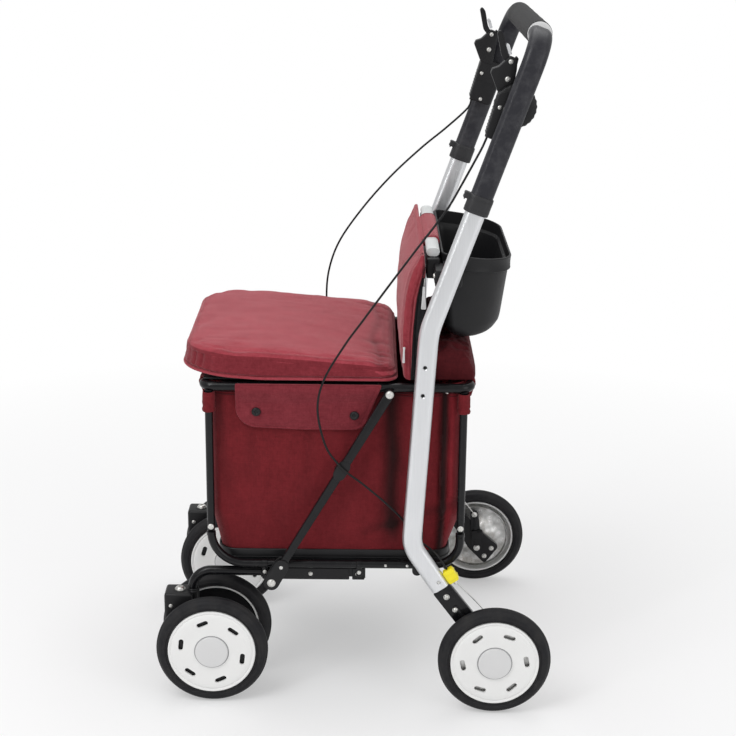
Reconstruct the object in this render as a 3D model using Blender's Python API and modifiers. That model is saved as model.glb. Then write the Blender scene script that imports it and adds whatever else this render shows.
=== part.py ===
"""Folding shopping rollator with a seat, a fabric bag, a rear basket and cable brakes.

Metres, +Z up. The origin is on the floor under the middle of the wheels. The walker pushes it
towards -X, so +X is the rear, -Y is the left side and +Y the right side.
"""

import math

import bmesh
import bpy
from mathutils import Matrix, Vector

# Clearances
GAP = 0.0003  # between solids that touch
RUNNING = 0.0005  # between solids that turn or slide on each other
SIDES = {"left": -1, "right": 1}

# Wheels, all six alike
WHEELBASE = 0.394
TYRE_RADIUS = 0.0785
TYRE_WIDTH = 0.023
TYRE_SHOULDER = 0.007
RIM_RADIUS = 0.0613
RIM_WIDTH = 0.021
RIM_WALL = 0.003
COVER_PROUD = 0.001
COVER_THICKNESS = 0.003
CAP_RADIUS = 0.024
CAP_PROUD = 0.002
HUB_RADIUS = 0.012
HUB_LENGTH = 0.0277
AXLE_RADIUS = 0.004
AXLE_IN_HUB = 0.018
FRONT_X = -WHEELBASE / 2
REAR_X = WHEELBASE / 2
WHEEL_STEPS = 24

# Casters
CASTER_Y = 0.152
CASTER_TRAIL = 0.048
TWIN_HALF = 0.0426
SWIVEL_X = FRONT_X - CASTER_TRAIL
FORK_DISC_RADIUS = 0.019
FORK_DISC_BOTTOM = 0.100
FORK_DISC_THICKNESS = 0.0075
FORK_ARM_WIDTH = 0.030
FORK_BOSS_RADIUS = 0.0135
STEM_RADIUS = 0.005
STEM_HEAD_RADIUS = 0.0075
STEM_HEAD_HEIGHT = 0.004
HEAD_FRONT = 0.021
HEAD_HALF_WIDTH = 0.018
HEAD_BOTTOM = FORK_DISC_BOTTOM + FORK_DISC_THICKNESS + RUNNING
HEAD_TOP = 0.150
HEAD_BEVEL = 0.004
HEAD_BOSS_RADIUS = 0.009
HEAD_BOSS_HEIGHT = 0.026

# Base: front tubes, side rails, tray and base rails
FRONT_TUBE_RADIUS = 0.00675
HEAD_TO_TUBE = 0.0185
FRONT_TUBE_X = SWIVEL_X + HEAD_TO_TUBE
FRONT_TUBE_BEND = 0.026
FRONT_TUBE_SOCKET = 0.018
SIDE_RAIL_FRONT = -0.128
SIDE_RAIL_REAR = 0.0157
SIDE_RAIL_SECTION = 0.018
SIDE_RAIL_Z = 0.1795
SIDE_RAIL_SOCKET = 0.011
NOTCH_X = -0.0036
NOTCH_WIDTH = 0.004
NOTCH_DEPTH = 0.005
TRAY_FRONT = -0.190
TRAY_REAR = 0.135
TRAY_HEIGHT = 0.0265
TRAY_WALL = 0.003
TRAY_CORNER = 0.028
RAIL_RADIUS = 0.006
RAIL_Z = 0.198
RAIL_FRONT_BEND = 0.046
RAIL_REAR_BEND = 0.036
SADDLE_STATIONS = (-0.1235, 0.008)
SADDLE_LENGTH = 0.008

# Parallelogram of the fold: its upper and lower pivots lie above each other
FOLD_X = 0.0885
SEAT_PIVOT_Z = 0.4575
LINK_DROP = 0.1772
FRONT_POST_X = -0.1975
REAR_POST_X = 0.148
POST_PIVOT_Z = 0.4315
POST_RADIUS = 0.0055
POST_OVERRUN = 0.006
PIN_RADIUS = 0.0022
PIN_HEAD_RADIUS = 0.0042
PIN_HEAD_PROUD = 0.0014
TONGUE_THICKNESS = 0.004
TONGUE_RADIUS = 0.0048
SHOULDER = 0.009
STRAP_THICKNESS = 0.003
STRAP_WIDTH = 0.014

# Seat ring
RING_RADIUS = 0.0065
RING_Y = 0.167
TRAY_TO_RAIL = 0.003
TRAY_HALF_WIDTH = RING_Y - RAIL_RADIUS - TRAY_TO_RAIL
RING_FRONT = -0.2045
RING_REAR = 0.157
RING_CORNER = 0.014
PIVOT_BOSS_RADIUS = 0.0075

# Diagonal struts
STRUT_TOP = Vector((0.0472, 0.4533))
STRUT_FOOT = Vector((-0.1135, SIDE_RAIL_Z - 0.0023))
STRUT_INNER = 0.1765
STRUT_THICKNESS = 0.010
STRUT_WIDTH = 0.0100
CHEEK_THICKNESS = 0.002
CHEEK_RADIUS = 0.011
CLIP_FROM_TOP = 0.1267
CLIP_SIZE = 0.013
CLIP_PROUD = 0.0004
BOLT_RADIUS = 0.003
BOLT_HEAD_RADIUS = 0.0055
BOLT_HEAD_PROUD = 0.0022

# Rear frame: flat oval side tubes from the rear arms up into the handle
LEAN = math.radians(19.4)
COLLAR_X = 0.1557
COLLAR_Z = 0.7101
TUBE_Y = 0.1985
REAR_WHEEL_OFFSET = 0.0225
REAR_TRACK = 2 * (TUBE_Y + REAR_WHEEL_OFFSET)
TUBE_WIDTH = 0.027
TUBE_DEPTH = 0.016
TUBE_WALL = 0.0015
TUBE_INSIDE_HANDLE = 0.130
UPPER_BEND_Z = 0.5447
UPPER_BEND_RADIUS = 0.10
LOWER_BEND = Vector((0.0797, 0.2402))
LOWER_BEND_RADIUS = 0.045
TUBE_END = Vector((0.1214, 0.1778))
ARM_THICKNESS = 0.010
ARM_HALF_WIDTH = 0.0145
ARM_START = 0.00125
ARM_FLARE = 0.0175
ARM_TAIL = 0.0413
ADJUSTER_LENGTH = 0.020
ADJUSTER_HEIGHT = 0.0156
ADJUSTER_WIDTH = 0.012
ADJUSTER_SETBACK = 0.0084

# Cross bar and backrest
BAR_X = 0.103
BAR_Z = 0.639
BAR_WIDTH = 0.018
BAR_HEIGHT = 0.012
BAR_HALF_LENGTH = 0.140
CLAMP_INNER = 0.120
CLAMP_HEIGHT = 0.027
CLAMP_STEP = 0.0065
CLAMP_REAR = 0.140
CLAMP_TO_BASKET = 0.0013
BACKREST_BOTTOM = 0.4675
BACKREST_TOP = 0.641
BACKREST_FRONT = 0.0650
BACKREST_HALF_WIDTH = 0.169
BACKREST_THICKNESS = 0.0290
BACKREST_SAG = 0.0085  # of the rear lining, below the clamps
LOOP_HALF_WIDTH = 0.0755
LOOP_THICKNESS = 0.0018

# Handle
HANDLE_WIDTH = TUBE_WIDTH + 0.003
HANDLE_WALL = 0.0012
HANDLE_DEPTH = TUBE_DEPTH + 0.003
HANDLE_LENGTH = 0.230
HANDLE_CORNER = 0.040
GRIP_RADIUS = 0.0165
GRIP_HALF_LENGTH = 0.150
COLLAR_START = -0.006
COLLAR_LENGTH = 0.024
COLLAR_WALL = 0.0018
COLLAR_LIP = 0.001
BUTTON_AT = COLLAR_START + 0.0175
BUTTON_RADIUS = 0.0032
BUTTON_PROUD = 0.003
BUTTON_TRAVEL = 0.0022
HOUSING_Y = 0.172
HOUSING_WIDTH = 0.014
LEVER_PIVOT = Vector((0.0237, 0.1856))
LEVER_TIP = Vector((0.0513, 0.2188))
LEVER_WIDTH = 0.009
LEVER_THICKNESS = 0.006
BODY_REAR = -0.0100
BODY_BOTTOM = 0.0885
KNOB_AT = 0.1373
KNOB_RADIUS = 0.0278
KNOB_THICKNESS = 0.010
KNOB_STEPS = 24
SLEEVE_END = Vector((0.0183, 0.0873))
SLEEVE_RADIUS = 0.0045

# Brake arms on the rear arms' inner faces
BRAKE_PIVOT = Vector((0.1982, 0.0681))
BRAKE_TIP = Vector((0.1929, 0.1262))
BRAKE_ARM_THICKNESS = 0.004
BRAKE_BOSS_RADIUS = 0.009
BRAKE_TIP_RADIUS = 0.0065

# Seat board and cushion
BOARD_FRONT = -0.205
BOARD_REAR = 0.052
BOARD_HALF_WIDTH = 0.160
BOARD_THICKNESS = 0.003
CUSHION_FRONT = -0.2355
CUSHION_REAR = 0.0565
CUSHION_HALF_WIDTH = 0.171
CUSHION_FRONT_CORNER = 0.070
CUSHION_REAR_CORNER = 0.030
CUSHION_REAR_TOP = 0.4860
CUSHION_CROWN = 0.004

# Bag, pocket flap and rear hood
BAG_WALL = 0.002
BAG_CORNER = 0.022
BAG_RISE = 0.0047
BAG_TOP = SEAT_PIVOT_Z + BAG_RISE
FLAP_THICKNESS = 0.0022
FLAP_TOP_FRONT = -0.1605
FLAP_TOP_REAR = 0.0349
FLAP_BOTTOM = 0.399
FLAP_BOTTOM_FRONT = -0.1333
FLAP_BOTTOM_REAR = 0.0063
HOOD_HALF_WIDTH = 0.150
HOOD_FRONT_FROM_PIVOT = 0.0105
HOOD_PAST_RING = 0.009

# Basket, hung on the cross bar
CLAMP_TOP = BAR_Z - BAR_HEIGHT / 2 - GAP
BASKET_RIM_Z = 0.639
BASKET_RIM_FALL = 0.0135  # from the front edge to the rear edge
BASKET_REAR = 0.2118
BASKET_HALF_WIDTH = 0.1465
BASKET_WALL = 0.0025
BASKET_FRONT_CORNER = 0.014
BASKET_REAR_CORNER = 0.064
BASKET_FLOOR_Z = 0.5165
EAR_X = 0.127
EAR_LENGTH = 0.022
EAR_REACH = 0.018
EAR_THICKNESS = 0.0022

# Brake cables
CABLE_RADIUS = 0.0015
CABLE_STEP = 0.018

ROUND_STEPS = 14
PARTS = "shopping_rollator"
CUTTERS = "cutters"


def clear_scene():
    for obj in list(bpy.data.objects):
        bpy.data.objects.remove(obj, do_unlink=True)


def collection(name):
    found = bpy.data.collections.new(name)
    bpy.context.scene.collection.children.link(found)
    return found


def material(name, colour, roughness, metallic=0.0):
    made = bpy.data.materials.new(name)
    made.use_nodes = True
    shader = made.node_tree.nodes["Principled BSDF"]
    shader.inputs["Base Color"].default_value = (*colour, 1.0)
    shader.inputs["Roughness"].default_value = roughness
    shader.inputs["Metallic"].default_value = metallic
    made.diffuse_color = (*colour, 1.0)
    return made


def attach(obj, parent):
    """Parents obj and leaves it where it is."""
    if parent:
        place = obj.matrix_basis.copy()
        obj.parent = parent
        obj.matrix_parent_inverse = Matrix.Translation(carriers[parent.name]).inverted()
        obj.matrix_basis = place


def carrier(name, location, parent=None):
    """An empty on a joint's axis, which carries the pieces that the joint moves."""
    location = Vector(location)
    empty = bpy.data.objects.new(name, None)
    empty.empty_display_size = 0.02
    empty.location = location
    parts.objects.link(empty)
    carriers[name] = location
    attach(empty, parent)
    return empty


def finish(obj, name, finish_material, parent):
    """Names a piece, gives it its material, smooths its round faces and parents it."""
    obj.name = name
    obj.data.name = name
    for linked in list(obj.users_collection):
        linked.objects.unlink(obj)
    parts.objects.link(obj)
    obj.data.materials.clear()
    obj.data.materials.append(finish_material)
    if obj.type == "MESH":
        obj.data.shade_smooth()
        obj.data.set_sharp_from_angle(angle=math.radians(38))
    attach(obj, parent)
    return obj


def mesh_object(name, mesh_builder, place=None):
    """A mesh object filled by a bmesh function, in the cutters' collection until finish takes it."""
    mesh = bpy.data.meshes.new(name)
    builder = bmesh.new()
    mesh_builder(builder)
    bmesh.ops.recalc_face_normals(builder, faces=builder.faces)
    builder.to_mesh(mesh)
    builder.free()
    obj = bpy.data.objects.new(name, mesh)
    obj.matrix_basis = place or Matrix()
    cutters.objects.link(obj)
    return obj


def box(name, low, high, bevel=0.0, segments=2):
    low, high = Vector(low), Vector(high)
    middle = (low + high) / 2

    def build(builder):
        bmesh.ops.create_cube(builder, size=1.0)
        bmesh.ops.scale(builder, vec=high - low, verts=builder.verts)

    obj = mesh_object(name, build, Matrix.Translation(middle))
    if bevel:
        rounding = obj.modifiers.new("rounded edges", "BEVEL")
        rounding.width = bevel
        rounding.segments = segments
    return obj


def cylinder(name, start, end, radius, steps=ROUND_STEPS):
    start, end = Vector(start), Vector(end)
    axis = end - start

    def build(builder):
        bmesh.ops.create_cone(
            builder,
            cap_ends=True,
            segments=steps,
            radius1=radius,
            radius2=radius,
            depth=axis.length,
        )

    turn = Vector((0, 0, 1)).rotation_difference(axis).to_matrix().to_4x4()
    return mesh_object(name, build, Matrix.Translation((start + end) / 2) @ turn)


def across(name, x, z, y_from, y_to, radius, side, steps=ROUND_STEPS):
    """A cylinder along Y at (x, z), between two distances from the middle plane, on one side."""
    return cylinder(name, (x, side * y_from, z), (x, side * y_to, z), radius, steps)


def rounded_path(corners, radii, step=math.radians(15), closed=False):
    """The corners joined by straight runs, with an arc of the given radius at each inner corner."""
    corners = [Vector(corner) for corner in corners]
    if closed:
        corners = [corners[-1], *corners, corners[0]]
    points = [] if closed else [corners[0]]
    for before, corner, after, radius in zip(corners, corners[1:], corners[2:], radii):
        to_before = (before - corner).normalized()
        to_after = (after - corner).normalized()
        angle = to_before.angle(to_after)
        reach = radius / math.tan(angle / 2)
        centre = corner + (to_before + to_after).normalized() * (radius / math.sin(angle / 2))
        arm = corner + to_before * reach - centre
        other = corner + to_after * reach - centre
        turn = math.pi - angle
        count = max(2, math.ceil(turn / step))
        for index in range(count + 1):
            share = index / count
            weight = math.sin((1 - share) * turn) / math.sin(turn)
            other_weight = math.sin(share * turn) / math.sin(turn)
            points.append(centre + arm * weight + other * other_weight)
    if not closed:
        points.append(corners[-1])
    return points


def spline(curve, points, closed):
    made = curve.splines.new("POLY")
    made.points.add(len(points) - 1)
    for target, point in zip(made.points, points):
        target.co = (*point, 1.0)
    made.use_cyclic_u = closed


def curve_object(name, points, closed=False, resolution=2):
    points = [Vector(point).to_3d() for point in points]
    curve = bpy.data.curves.new(name, "CURVE")
    curve.dimensions = "3D"
    curve.bevel_resolution = resolution
    curve.use_fill_caps = not closed
    curve.twist_mode = "MINIMUM"
    spline(curve, [point - points[0] for point in points], closed)
    obj = bpy.data.objects.new(name, curve)
    obj.matrix_basis = Matrix.Translation(points[0])
    cutters.objects.link(obj)
    return obj


def round_tube(name, points, radius, closed=False, resolution=2):
    obj = curve_object(name, points, closed, resolution)
    obj.data.bevel_depth = radius
    return as_mesh(obj)


def stadium(width, height, steps=5):
    """Outline points of a flat oval, its long way along the first axis."""
    radius = height / 2
    reach = width / 2 - radius
    points = []
    for centre, start in ((reach, -math.pi / 2), (-reach, math.pi / 2)):
        for index in range(steps + 1):
            angle = start + math.pi * index / steps
            points.append((centre + radius * math.cos(angle), radius * math.sin(angle)))
    return points


def oval_tube(name, points, width, height, wall=0.0):
    """A flat oval tube along a path in one plane; width lies square to height, which is along Y
    on a path in the XZ plane. With a wall it is hollow and open at both ends."""
    outline = bpy.data.curves.new(name + "_section", "CURVE")
    outline.dimensions = "2D"
    spline(outline, [(across_y, along, 0.0) for along, across_y in stadium(width, height)], True)
    section = bpy.data.objects.new(name + "_section", outline)
    cutters.objects.link(section)
    obj = curve_object(name, points)
    obj.data.bevel_mode = "OBJECT"
    obj.data.bevel_object = section
    obj.data.use_fill_caps = not wall
    tube = as_mesh(obj)
    bpy.data.objects.remove(section)
    if wall:
        hollow = tube.modifiers.new("wall", "SOLIDIFY")
        hollow.thickness = wall
        hollow.offset = -1.0
        hollow.use_even_offset = True
    return tube


def as_mesh(obj):
    """Turns an object into a plain mesh object with its caps welded and its faces pointing out."""
    bpy.context.view_layer.update()
    graph = bpy.context.evaluated_depsgraph_get()
    mesh = bpy.data.meshes.new_from_object(obj.evaluated_get(graph))
    builder = bmesh.new()
    builder.from_mesh(mesh)
    bmesh.ops.remove_doubles(builder, verts=builder.verts, dist=0.00001)
    bmesh.ops.recalc_face_normals(builder, faces=builder.faces)
    builder.to_mesh(mesh)
    builder.free()
    made = bpy.data.objects.new(obj.name, mesh)
    made.matrix_basis = obj.matrix_basis.copy()
    cutters.objects.link(made)
    bpy.data.objects.remove(obj)
    return made


def plate(name, outline, y_from, y_to, side, pivot=(0.0, 0.0)):
    """A flat plate: an outline in (x, z) that stands upright between two distances along Y.
    Its origin is at the pivot."""
    pivot = Vector(pivot)
    curve = bpy.data.curves.new(name, "CURVE")
    curve.dimensions = "2D"
    curve.fill_mode = "BOTH"
    curve.extrude = (y_to - y_from) / 2
    spline(curve, [(x - pivot.x, z - pivot.y, 0.0) for x, z in outline], True)
    obj = bpy.data.objects.new(name, curve)
    middle = Vector((pivot.x, side * (y_from + y_to) / 2, pivot.y))
    obj.matrix_basis = Matrix.Translation(middle) @ Matrix.Rotation(math.pi / 2, 4, "X")
    cutters.objects.link(obj)
    return as_mesh(obj)


def circle(centre, radius, start=0.0, end=2 * math.pi, steps=12, whole=False):
    count = steps if whole else steps + 1
    return [
        (
            centre[0] + radius * math.cos(start + (end - start) * index / steps),
            centre[1] + radius * math.sin(start + (end - start) * index / steps),
        )
        for index in range(count)
    ]


def capsule(first, first_radius, second, second_radius, steps=8):
    """Outline round two circles and the straight sides between them."""
    first, second = Vector(first), Vector(second)
    heading = math.atan2(second.y - first.y, second.x - first.x)
    lean = math.asin((first_radius - second_radius) / (second - first).length)
    open_half = math.pi / 2 - lean
    return circle(
        first, first_radius, heading + open_half, heading + 2 * math.pi - open_half, steps
    ) + circle(second, second_radius, heading - open_half, heading + open_half, steps)


def boolean(obj, tool, operation="DIFFERENCE"):
    cut = obj.modifiers.new(tool.name, "BOOLEAN")
    cut.operation = operation
    cut.object = tool
    tool.hide_render = True
    tool.display_type = "WIRE"
    return obj


def join(obj, *tools):
    for tool in tools:
        boolean(obj, tool, "UNION")
    return obj


def turned(name, profile, place, closed):
    """A turned solid: a profile of (radius, height) points that runs down its outer side."""

    def build(builder):
        verts = [builder.verts.new((radius, 0.0, height)) for radius, height in profile]
        for one, other in zip(verts, verts[1:]):
            builder.edges.new((one, other))
        if closed:
            builder.edges.new((verts[-1], verts[0]))

    obj = mesh_object(name, build, place)
    screw = obj.modifiers.new("turn", "SCREW")
    screw.steps = WHEEL_STEPS
    screw.render_steps = WHEEL_STEPS
    screw.use_merge_vertices = True
    screw.merge_threshold = 0.00005
    return obj


def open_box(name, loops, wall, front_corner=None, step=math.radians(31)):
    """A thin-walled box open at the top, lofted through rounded rectangles from floor to rim.
    Each loop is (height, x from, x to, half width, corner radius), and the front corners can
    have a radius of their own."""

    def build(builder):
        rings = []
        for height, x_from, x_to, half_width, corner in loops:
            corners = (
                (x_from, -half_width, height),
                (x_to, -half_width, height),
                (x_to, half_width, height),
                (x_from, half_width, height),
            )
            front = corner if front_corner is None else front_corner
            path = rounded_path(corners, (front, corner, corner, front), step, closed=True)
            rings.append([builder.verts.new(point) for point in path])
        for lower, upper in zip(rings, rings[1:]):
            count = len(lower)
            for index in range(count):
                following = (index + 1) % count
                builder.faces.new(
                    (lower[index], lower[following], upper[following], upper[index])
                )
        builder.faces.new(reversed(rings[0]))

    obj = mesh_object(name, build)
    shell = obj.modifiers.new("wall", "SOLIDIFY")
    shell.thickness = wall
    shell.offset = -1.0
    shell.use_even_offset = True
    return obj


def handle_point(along, forward=0.0, y=0.0):
    """A point beside the handle's leg: along it from the collar, and forward of its middle."""
    return Vector(
        (
            COLLAR_X + along * math.sin(LEAN) - forward * math.cos(LEAN),
            y,
            COLLAR_Z + along * math.cos(LEAN) + forward * math.sin(LEAN),
        )
    )


def handle_outline(points):
    """(forward, along) points beside the handle's leg as (x, z) points."""
    return [
        (handle_point(along, forward).x, handle_point(along, forward).z)
        for forward, along in points
    ]


def wheel(name, x, y, outward, parent):
    """A tyre on a rim with a dished cover, a cap and a blind axle bore. outward is +1 or -1."""
    turn = Matrix.Rotation(-outward * math.pi / 2, 4, "X")
    place = Matrix.Translation((x, y, TYRE_RADIUS)) @ turn
    face = RIM_WIDTH / 2
    tyre_top = face - COVER_PROUD
    tyre_low = tyre_top - TYRE_WIDTH
    seat = RIM_RADIUS + GAP
    shoulder = TYRE_RADIUS - TYRE_SHOULDER
    bulge = TYRE_SHOULDER * math.sin(math.pi / 4)
    half_side = [
        (seat, tyre_top),
        (shoulder, tyre_top),
        (shoulder + bulge, tyre_top - TYRE_SHOULDER + bulge),
        (TYRE_RADIUS, tyre_top - TYRE_SHOULDER),
    ]
    other_side = [(radius, tyre_top + tyre_low - height) for radius, height in reversed(half_side)]
    tyre = turned(name + "_tyre", half_side + other_side, place, closed=True)
    finish(tyre, name + "_tyre", rubber, parent)

    inner = -face
    under_cover = face - COVER_THICKNESS
    hub_end = face - HUB_LENGTH
    bore = AXLE_RADIUS + RUNNING
    bore_end = hub_end + AXLE_IN_HUB + RUNNING
    profile = [
        (0.0, face + CAP_PROUD),
        (CAP_RADIUS, face + CAP_PROUD),
        (CAP_RADIUS, face),
        (RIM_RADIUS, face),
        (RIM_RADIUS, inner),
        (RIM_RADIUS - RIM_WALL, inner),
        (RIM_RADIUS - RIM_WALL, under_cover),
        (HUB_RADIUS, under_cover),
        (HUB_RADIUS, hub_end),
        (bore, hub_end),
        (bore, bore_end),
        (0.0, bore_end),
    ]
    rim = turned(name + "_rim", profile, place, closed=False)
    finish(rim, name + "_rim", white_plastic, parent)


def hub_inner_offset():
    """From a wheel's middle plane to the inner end of its hub."""
    return HUB_LENGTH - RIM_WIDTH / 2


def rear_arm(side_name, side):
    """The black arm that carries on from a side tube to its rear wheel, with the axle."""
    axle = Vector((REAR_X, TYRE_RADIUS))
    along = (axle - TUBE_END).normalized()
    rearward = Vector((-along.y, along.x))
    start = ARM_START - (axle - TUBE_END).length
    shape = (
        (start, -ARM_HALF_WIDTH + 0.001),
        (-0.020, -ARM_HALF_WIDTH),
        (0.0023, -ARM_FLARE),
        (ARM_TAIL, -0.0127),
        (ARM_TAIL - 0.0105, 0.0239),
        (0.004, ARM_FLARE + 0.001),
        (-0.020, ARM_HALF_WIDTH),
        (start, ARM_HALF_WIDTH - 0.001),
    )
    outline = [axle + along * u + rearward * v for u, v in shape]
    inner = TUBE_Y - ARM_THICKNESS / 2
    outer = TUBE_Y + ARM_THICKNESS / 2
    arm = plate("rear_arm", outline, inner, outer, side, axle)
    hub_end = REAR_TRACK / 2 - hub_inner_offset()
    pin = across("axle", axle.x, axle.y, inner, hub_end + AXLE_IN_HUB, AXLE_RADIUS, side)
    join(arm, pin)
    finish(arm, f"rear_arm_{side_name}", black_paint, rear_frame)


def cable_adjuster(side_name, side):
    """The yellow end block of the brake cable, behind the lower end of a side tube."""
    along = (TUBE_END - LOWER_BEND).normalized()
    rearward = Vector((-along.y, along.x))
    near = TUBE_WIDTH / 2 + GAP
    corners = []
    for u, v in ((-1, 0), (1, 0), (1, 1), (-1, 1)):
        step = u * ADJUSTER_LENGTH / 2 - ADJUSTER_SETBACK
        corners.append(TUBE_END + along * step + rearward * (near + v * ADJUSTER_HEIGHT))
    outline = rounded_path([c.to_3d() for c in corners], [0.003] * 4, 0.8, closed=True)
    block = plate(
        "cable_adjuster",
        [(point.x, point.y) for point in outline],
        TUBE_Y - ADJUSTER_WIDTH / 2,
        TUBE_Y + ADJUSTER_WIDTH / 2,
        side,
        TUBE_END,
    )
    finish(block, f"cable_adjuster_{side_name}", yellow_plastic, rear_frame)


def side_tube(side_name, side):
    y = side * TUBE_Y
    top = handle_point(TUBE_INSIDE_HANDLE, 0.0, y)
    bend = handle_point((UPPER_BEND_Z - COLLAR_Z) / math.cos(LEAN), 0.0, y)
    lower = Vector((LOWER_BEND.x, y, LOWER_BEND.y))
    end = Vector((TUBE_END.x, y, TUBE_END.y))
    path = rounded_path((top, bend, lower, end), (UPPER_BEND_RADIUS, LOWER_BEND_RADIUS))
    tube = oval_tube("side_tube", path, TUBE_WIDTH, TUBE_DEPTH, TUBE_WALL)
    finish(tube, f"side_tube_{side_name}", satin_aluminium, rear_frame)


def bar_outline(margin):
    """The cross bar's flat oval section as (x, z) points, larger by a margin all round."""
    oval = stadium(BAR_WIDTH + 2 * margin, BAR_HEIGHT + 2 * margin)
    return [(BAR_X + x, BAR_Z + z) for x, z in oval]


def cross_bar_and_clamps():
    """A flat bar on two clamps, which step down and reach out to the side tubes."""
    half = BAR_HALF_LENGTH
    bar = plate("cross_bar", bar_outline(0.0), -half, half, 1, (BAR_X, BAR_Z))
    finish(bar, "cross_bar", satin_aluminium, rear_frame)
    outer = TUBE_Y - TUBE_DEPTH / 2 - GAP
    arm_from = BASKET_HALF_WIDTH + CLAMP_TO_BASKET
    for side_name, side in SIDES.items():
        low_y, high_y = sorted((side * CLAMP_INNER, side * (arm_from + 0.004)))
        clamp = box(
            "clamp",
            (BAR_X - BAR_WIDTH / 2, low_y, CLAMP_TOP - CLAMP_HEIGHT),
            (BAR_X + BAR_WIDTH / 2, high_y, CLAMP_TOP),
            bevel=0.0015,
        )
        low_y, high_y = sorted((side * arm_from, side * outer))
        arm = box(
            "clamp_arm",
            (BAR_X + 0.0015, low_y, CLAMP_TOP - CLAMP_HEIGHT - 0.002),
            (CLAMP_REAR, high_y, CLAMP_TOP - CLAMP_STEP),
            bevel=0.002,
        )
        join(clamp, arm)
        finish(clamp, f"cross_bar_clamp_{side_name}", black_plastic, rear_frame)


def pillow(name, cuts, shape):
    """A cushion from a coarse cage: a divided cube whose corners a function moves, smoothed."""

    def build(builder):
        bmesh.ops.create_cube(builder, size=2.0)
        bmesh.ops.subdivide_edges(
            builder, edges=builder.edges, cuts=cuts, use_grid_fill=True
        )
        for vert in builder.verts:
            vert.co = shape(*vert.co)

    obj = mesh_object(name, build)
    smooth = obj.modifiers.new("soft", "SUBSURF")
    smooth.levels = 1
    smooth.render_levels = 1
    return obj


def line(stations, x):
    """The height at x on a line through (x, height) stations."""
    for (x0, z0), (x1, z1) in zip(stations, stations[1:]):
        if x <= x1 or (x1, z1) == stations[-1]:
            return z0 + (z1 - z0) * (x - x0) / (x1 - x0)


def round_corner(x, y, half_x, half_y, radius):
    """A point of a rectangle's grid, drawn in where the corner is round."""
    over_x = abs(x) - (half_x - radius)
    over_y = abs(y) - (half_y - radius)
    if over_x <= 0.0 or over_y <= 0.0:
        return x, y
    share = 1.0 - max(over_x, over_y) / math.hypot(over_x, over_y)
    return x - math.copysign(over_x * share, x), y - math.copysign(over_y * share, y)


def seat_cushion(parent):
    """A little higher at its front, with a low crown, round corners and a raised front underside."""
    top_line = (
        (CUSHION_FRONT, 0.5080),
        (-0.127, 0.5025),
        (-0.039, 0.4955),
        (0.021, 0.4905),
        (CUSHION_REAR, CUSHION_REAR_TOP),
    )
    board_top = SEAT_PIVOT_Z + RING_RADIUS + GAP + BOARD_THICKNESS
    seat = board_top + GAP
    low_line = ((CUSHION_FRONT, 0.4745), (-0.205, 0.4735), (-0.130, seat), (CUSHION_REAR, seat))
    middle_x = (CUSHION_FRONT + CUSHION_REAR) / 2
    half_x = (CUSHION_REAR - CUSHION_FRONT) / 2

    def shape(u, v, w):
        corner = CUSHION_FRONT_CORNER if u < 0 else CUSHION_REAR_CORNER
        x, y = round_corner(
            u * half_x, v * CUSHION_HALF_WIDTH, half_x, CUSHION_HALF_WIDTH, corner
        )
        x += middle_x
        high, low = line(top_line, x), line(low_line, x)
        crown = CUSHION_CROWN * (1 - u * u) * (1 - v * v)
        z = (high + low) / 2 + w * (high - low) / 2 + (crown if w > 0.9 else 0.0)
        return Vector((x, y, z))

    cushion = pillow("seat_cushion", 5, shape)
    finish(cushion, "seat_cushion", red_fabric, parent)


def backrest_pad():
    """Leans back towards the cross bar, with a crown on its front face and drawn-in edges. A loop
    of its cover holds it to the bar."""
    front_line = (
        (BACKREST_BOTTOM, BACKREST_FRONT + 0.0010),
        (0.530, BACKREST_FRONT),
        (0.583, BACKREST_FRONT + 0.0038),
        (0.608, BACKREST_FRONT + 0.0088),
        (BACKREST_TOP, BACKREST_FRONT + 0.0190),
    )
    middle_z = (BACKREST_BOTTOM + BACKREST_TOP) / 2
    half_z = (BACKREST_TOP - BACKREST_BOTTOM) / 2
    bar_front = BAR_X - BAR_WIDTH / 2 - GAP
    sag_line = (
        (BACKREST_BOTTOM, 0.0),
        (0.510, 0.003),
        (0.537, BACKREST_SAG),
        (0.569, 0.0025),
        (CLAMP_TOP - CLAMP_HEIGHT - 0.003, 0.0),
        (BACKREST_TOP, 0.0),
    )

    def shape(u, v, w):
        drawn_in = 1.0 - 0.02 * (w * w) * (v * v)
        z = middle_z + w * half_z * drawn_in
        y = v * BACKREST_HALF_WIDTH * drawn_in
        front = line(front_line, z)
        rear = min(front + BACKREST_THICKNESS, bar_front - 2 * GAP) + line(sag_line, z)
        crown = 0.003 * (1 - w * w) * (1 - v * v)
        x = (front + rear) / 2 + u * (rear - front) / 2 - (crown if u < -0.9 else 0.0)
        return Vector((x, y, z))

    pad = pillow("backrest_pad", 4, shape)
    loop = plate("loop", bar_outline(GAP + LOOP_THICKNESS), -LOOP_HALF_WIDTH, LOOP_HALF_WIDTH, 1)
    hole = plate("loop_hole", bar_outline(GAP), -LOOP_HALF_WIDTH - 0.01, LOOP_HALF_WIDTH + 0.01, 1)
    web = box(
        "web",
        (bar_front - 0.010, -LOOP_HALF_WIDTH + 0.0005, BAR_Z - 0.0050),
        (bar_front + 0.001, LOOP_HALF_WIDTH - 0.0005, BAR_Z - 0.0005),
    )
    join(pad, loop, web)
    boolean(pad, hole)
    finish(pad, "backrest_pad", red_fabric, rear_frame)


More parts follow.
